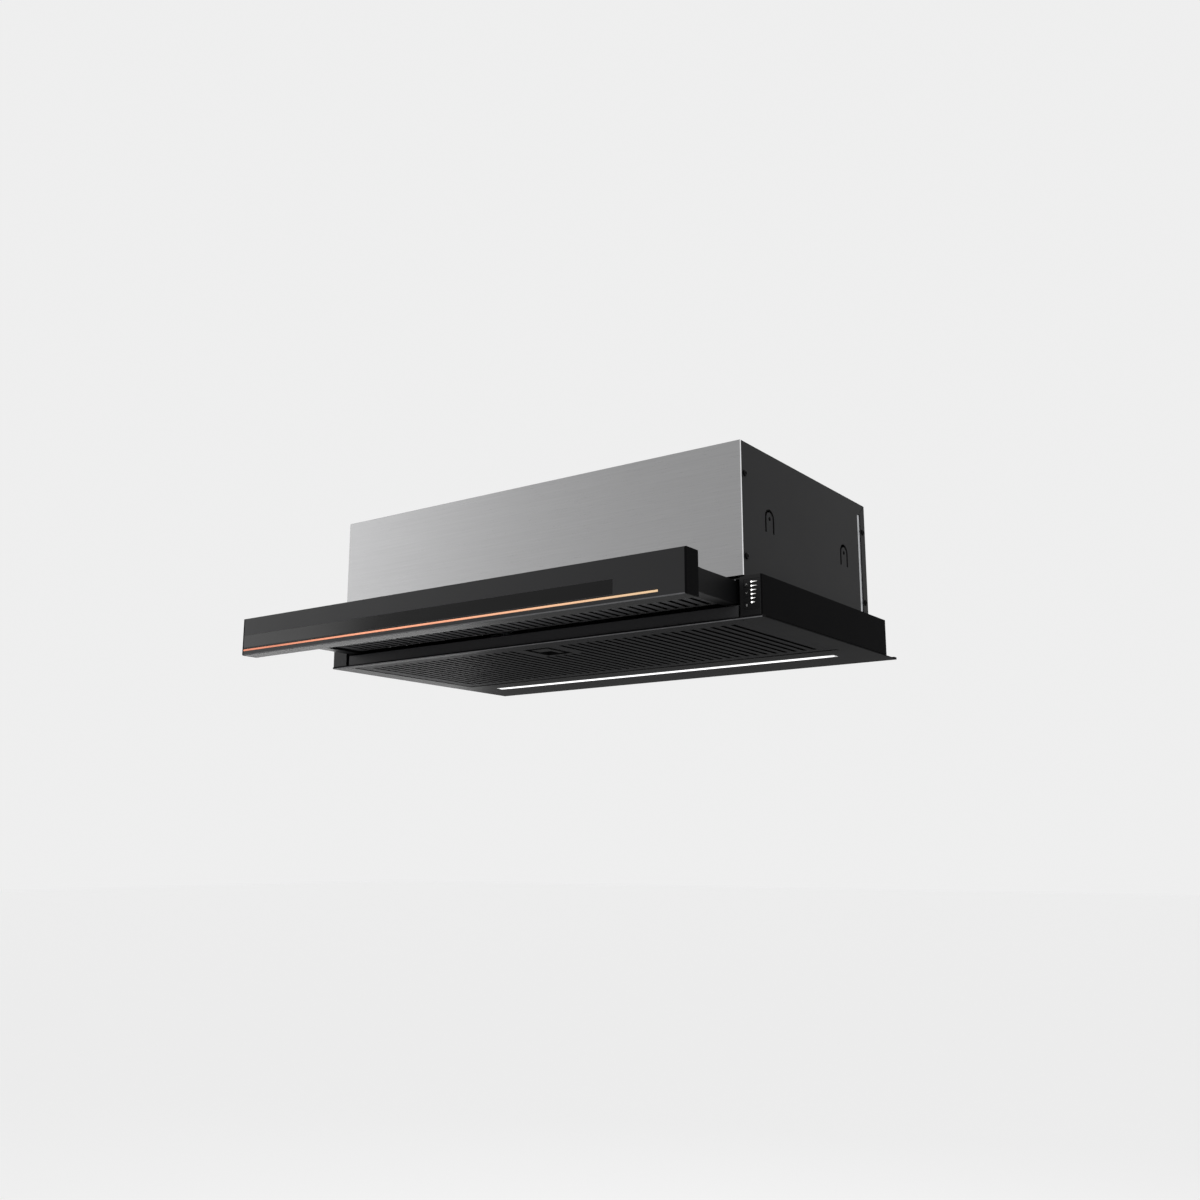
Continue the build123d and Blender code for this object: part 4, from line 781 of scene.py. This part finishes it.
# Strands along X: each is a zigzag whose neighbour mirrors it, so that they meet at every
# point; the section is a small tilted rectangle, and the whole layer ripples as a sine of X
def strandLattice(look, layer, lowX, highX, lowY, highY, base):
    count = int((highY - lowY) / layer["pitch"])
    stations = int((highX - lowX) / layer["cell"] * 2) + 1
    strand, station = np.meshgrid(np.arange(count), np.arange(stations), indexing="ij")
    x = lowX + (highX - lowX) * station / (stations - 1)
    side = np.where((strand + station) % 2, 1, -1)
    swing = (layer["pitch"] / 2 - layer["half"] * look["overlap"]) * side
    y = lowY + (highY - lowY) * (strand + 0.5) / count + swing
    z = base + layer["height"] + look["ripple"] * np.sin(2 * np.pi * x / look["rippleLength"])
    half, thick, tilt = layer["half"], layer["thick"], look["tilt"]
    offset = np.array([
        (0, -half, -thick - tilt), (0, half, -thick + tilt),
        (0, half, thick + tilt), (0, -half, thick - tilt),
    ])
    points = np.stack((x, y, z), axis=-1)[:, :, None, :] + offset
    tube = gridFaces(stations, 4, wrapColumns=True)
    ends = np.array([(3, 2, 1, 0), np.arange(4) + (stations - 1) * 4])
    faces = np.vstack((tube, ends))[None] + (np.arange(count) * stations * 4)[:, None, None]
    return points.reshape(-1, 3), faces.reshape(-1, 4)


def makeMesh(look):
    low, high = (np.array(corner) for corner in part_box("filter_mesh"))
    bend = low[1] + look["notchDepth"]
    fields = (
        (low[0], high[0], bend, high[1]),
        (low[0], -look["notchHalf"], low[1], bend),
        (look["notchHalf"], high[0], low[1], bend),
    )
    allPoints, allFaces, start = [], [], 0
    for layer in look["layers"]:
        for lowX, highX, lowY, highY in fields:
            points, faces = strandLattice(look, layer, lowX, highX, lowY, highY, low[2])
            allPoints.append(points)
            allFaces.append(faces + start)
            start += len(points)
    data = bpy.data.meshes.new("filter_strands")
    data.from_pydata(np.vstack(allPoints).tolist(), [], np.vstack(allFaces).tolist())
    data.materials.append(finishes["filter_wire"])
    piece = bpy.data.objects.new("filter_strands", data)
    bpy.context.scene.collection.objects.link(piece)
    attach(piece, bodyOf["filter_mesh"])
    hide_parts("filter_mesh")
    return piece


makeMesh(meshLook)
print("lens, level lights and filter pad made")

# Cable gland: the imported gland's outline with three ribs round its cone
glandLook = {
    "ribs": 3, "ribDepth": 0.0009, "ribPhase": 0.6, "ribSteepness": 3, "ribSpan": (0.08, 0.94),
    "mouthRadius": 0.0078, "bore": 0.0036, "mouthEase": 0.0006, "neck": 0.0069, "neckLength": 0.006,
    "rings": 40, "steps": 64,
}


# A closed profile (radius, height) carried round the gland's axis: the cone's radius falls in
# a straight line, and a clipped sine of the height cuts the ribs between the span's two ends
def makeGland(look):
    low, high = (np.array(corner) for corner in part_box("cable_gland"))
    middle = (low + high) / 2
    head = (high[0] - low[0]) / 2
    seat = low[2] + look["neckLength"]
    share = np.linspace(0, 1, look["rings"])
    wave = np.sin(share * 2 * np.pi * look["ribs"] + look["ribPhase"]) * look["ribSteepness"]
    firstRib, lastRib = look["ribSpan"]
    cut = (1 - np.clip(wave, -1, 1)) / 2 * (share > firstRib) * (share < lastRib)
    radius = head + (look["mouthRadius"] - head) * share - look["ribDepth"] * cut
    bore, ease, neck = look["bore"], look["mouthEase"], look["neck"]
    profile = np.vstack((
        [(bore, low[2]), (neck, low[2]), (neck, seat)],
        np.column_stack((radius, seat + (high[2] - seat) * share)),
        [(bore + ease, high[2]), (bore, high[2] - ease)],
    ))
    points = turnedGrid(profile, look["steps"]) + np.array((middle[0], middle[1], 0))
    faces = gridFaces(len(profile), look["steps"], wrapRows=True, wrapColumns=True)
    return makePiece("cable_gland_ribbed", points, faces, "cable_gland", finishOf("cable_gland"))


makeGland(glandLook)

# Signs on the keys: two arrowheads and a bulb, printed a hair above each key's face; the
# bulb's foot is in shares of its radius
signLook = {
    "height": 0.00005, "arrowHalf": 0.0013, "arrowRise": 0.0021, "stroke": 0.0005, "strokeRise": 1.9,
    "bulb": 0.00095, "bulbLift": 0.0004, "bulbEnds": (-55, 235), "bulbSteps": 19,
    "footHalf": 0.5, "footDrop": 1.6, "footLift": 0.0003,
}


# A flat outline (across, up) given a thickness towards the front
def raisedPrint(outline, nodeName, look):
    low, high = (np.array(corner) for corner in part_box(nodeName))
    centre = (low + high) / 2
    ring = np.asarray(outline)
    count = len(ring)
    proud = np.full(count, low[1] - look["height"])
    front = np.column_stack((centre[0] + ring[:, 0], proud, centre[2] + ring[:, 1]))
    back = front + np.array((0, look["height"], 0))
    sides = [(step, (step + 1) % count, (step + 1) % count + count, step + count) for step in range(count)]
    faces = [tuple(range(count)), tuple(range(2 * count - 1, count - 1, -1))] + sides
    points = np.vstack((front, back))
    finish = finishes["grey_moulding"]
    return makePiece(nodeName + "_sign", points, faces, nodeName, finish, replaced=False)


# An open arrowhead: three outer corners and three inner ones; up is 1, or -1 to point down
def arrowOutline(look, up):
    half, rise, stroke = look["arrowHalf"], look["arrowRise"], look["stroke"]
    notch = rise / 2 - stroke * look["strokeRise"]
    outer = [(-half, -rise / 2), (0, rise / 2), (half, -rise / 2)]
    inner = [(half - stroke, -rise / 2), (0, notch), (-half + stroke, -rise / 2)]
    return [(x, y * up) for x, y in outer + inner]


# A lamp bulb: most of a circle, closed by a straight foot
def bulbOutline(look):
    angle = np.radians(np.linspace(*look["bulbEnds"], look["bulbSteps"]))
    ring = np.column_stack((np.cos(angle), np.sin(angle))) * look["bulb"] + (0, look["bulbLift"])
    corners = [(-look["footHalf"], -look["footDrop"]), (look["footHalf"], -look["footDrop"])]
    return np.vstack((ring, np.array(corners) * look["bulb"] + (0, look["footLift"])))


raisedPrint(arrowOutline(signLook, 1), "button_up", signLook)
raisedPrint(arrowOutline(signLook, -1), "button_down", signLook)
raisedPrint(bulbOutline(signLook), "button_lamp", signLook)
print("gland and key signs made")

# Floor and surroundings: seen by the camera and in reflections, the grey floor is lifted to
# the backdrop's paleness, and it still takes the hood's shadow
stageLook = {
    "floorDrop": 1.5, "floorHalf": 40.0, "floorColour": (0.4, 0.4, 0.4), "lift": 0.6,
    "driftScale": 3, "driftTone": 0.985, "roughness": 0.9, "shine": 0.05,
    "seen": 0.86, "light": 0.57,  # the world's strength as backdrop and as light
}


# 1 for the rays by which the camera, metal and glass see the surroundings, 0 for plain light
def seenRays(tree):
    rays = addNode(tree, "LightPath", {}).outputs
    seen = calculated(tree, "MAXIMUM", rays["Is Camera Ray"], rays["Is Glossy Ray"])
    return calculated(tree, "MAXIMUM", seen, rays["Is Transmission Ray"])


def makeFloor(look):
    half = look["floorHalf"]
    corners = np.array([(-half, -half), (half, -half), (half, half), (-half, half)])
    points = np.column_stack((corners, np.full(4, -look["floorDrop"])))
    data = bpy.data.meshes.new("floor")
    data.from_pydata(points.tolist(), [], [(0, 1, 2, 3)])
    floor = bpy.data.objects.new("floor", data)
    bpy.context.scene.collection.objects.link(floor)
    made, tree, shader = startMaterial("paleFloor")
    drift = noise(tree, stretched(tree), look["driftScale"], detail=4)
    pale = look["floorColour"]
    dress(
        tree, shader,
        Base_Color=blendColours(tree, drift, shaded(pale, look["driftTone"]), pale),
        Emission_Strength=calculated(tree, "MULTIPLY", seenRays(tree), look["lift"]),
        Emission_Color=(1, 1, 1, 1), Roughness=look["roughness"], Specular_IOR_Level=look["shine"],
    )
    data.materials.append(made)


makeFloor(stageLook)

# World: pale for the camera and in reflections, plain grey as light
world = bpy.data.worlds.new("studio")
bpy.context.scene.world = world
world.use_nodes = True
worldTree = world.node_tree
mixing = {0: seenRays(worldTree), 2: stageLook["light"], 3: stageLook["seen"]}
strength = addNode(worldTree, "Mix", mixing).outputs[0]
worldTree.links.new(strength, worldTree.nodes["Background"].inputs["Strength"])
worldTree.nodes["Background"].inputs["Color"].default_value = (1, 1, 1, 1)


# Lamps: each a soft rectangle aimed at a point of the hood; its power follows its glow and area
def addLamp(name, look):
    data = bpy.data.lights.new(name, "AREA")
    data.shape = "RECTANGLE"
    data.size, data.size_y = look["size"]
    data.energy = look["glow"] * math.pi * data.size * data.size_y
    lamp = bpy.data.objects.new(name, data)
    bpy.context.scene.collection.objects.link(lamp)
    lamp.location = look["place"]
    aim = Vector(look["aim"]) - Vector(look["place"])
    lamp.rotation_euler = aim.to_track_quat("-Z", "Y").to_euler()
    lamp.visible_camera = False


lamps = {
    "leftLamp": {"place": (-2.7, -1.75, 0.8), "aim": (0, 0, 0.1), "size": (1.3, 1.6), "glow": 2.1},
    "frontLamp": {"place": (0.9, -2.9, 1.6), "aim": (0, 0, 0.1), "size": (1.2, 1.0), "glow": 0.7},
    "topLamp": {"place": (0.4, 0.3, 2.8), "aim": (0, 0, 0.1), "size": (2.2, 1.8), "glow": 1.2},
    "lowLamp": {"place": (-2.35, 1.75, -0.5), "aim": (-0.15, 0, 0), "size": (1.0, 0.5), "glow": 7.5},
    "backLamp": {"place": (-1.1, 2.9, 1.7), "aim": (0, 0.1, 0.1), "size": (2.0, 1.5), "glow": 3.4},
}
for lampName, look in lamps.items():
    addLamp(lampName, look)

# Camera: solved from the photograph's straight edges
cameraLook = {
    "place": (0.8445, -1.12765, -0.2207), "pitch": 11.610, "yaw": 35.561,
    "lens": 36.79, "sensor": 36.0, "clip": (0.01, 200),
}
cameraData = bpy.data.cameras.new("camera")
cameraData.lens = cameraLook["lens"]
cameraData.sensor_width = cameraLook["sensor"]
cameraData.clip_start, cameraData.clip_end = cameraLook["clip"]
camera = bpy.data.objects.new("camera", cameraData)
bpy.context.scene.collection.objects.link(camera)
camera.location = cameraLook["place"]
camera.rotation_euler = (math.radians(90 + cameraLook["pitch"]), 0, math.radians(cameraLook["yaw"]))
bpy.context.scene.camera = camera
bpy.context.scene.view_settings.view_transform = "Standard"
print("stage, lamps and camera set")
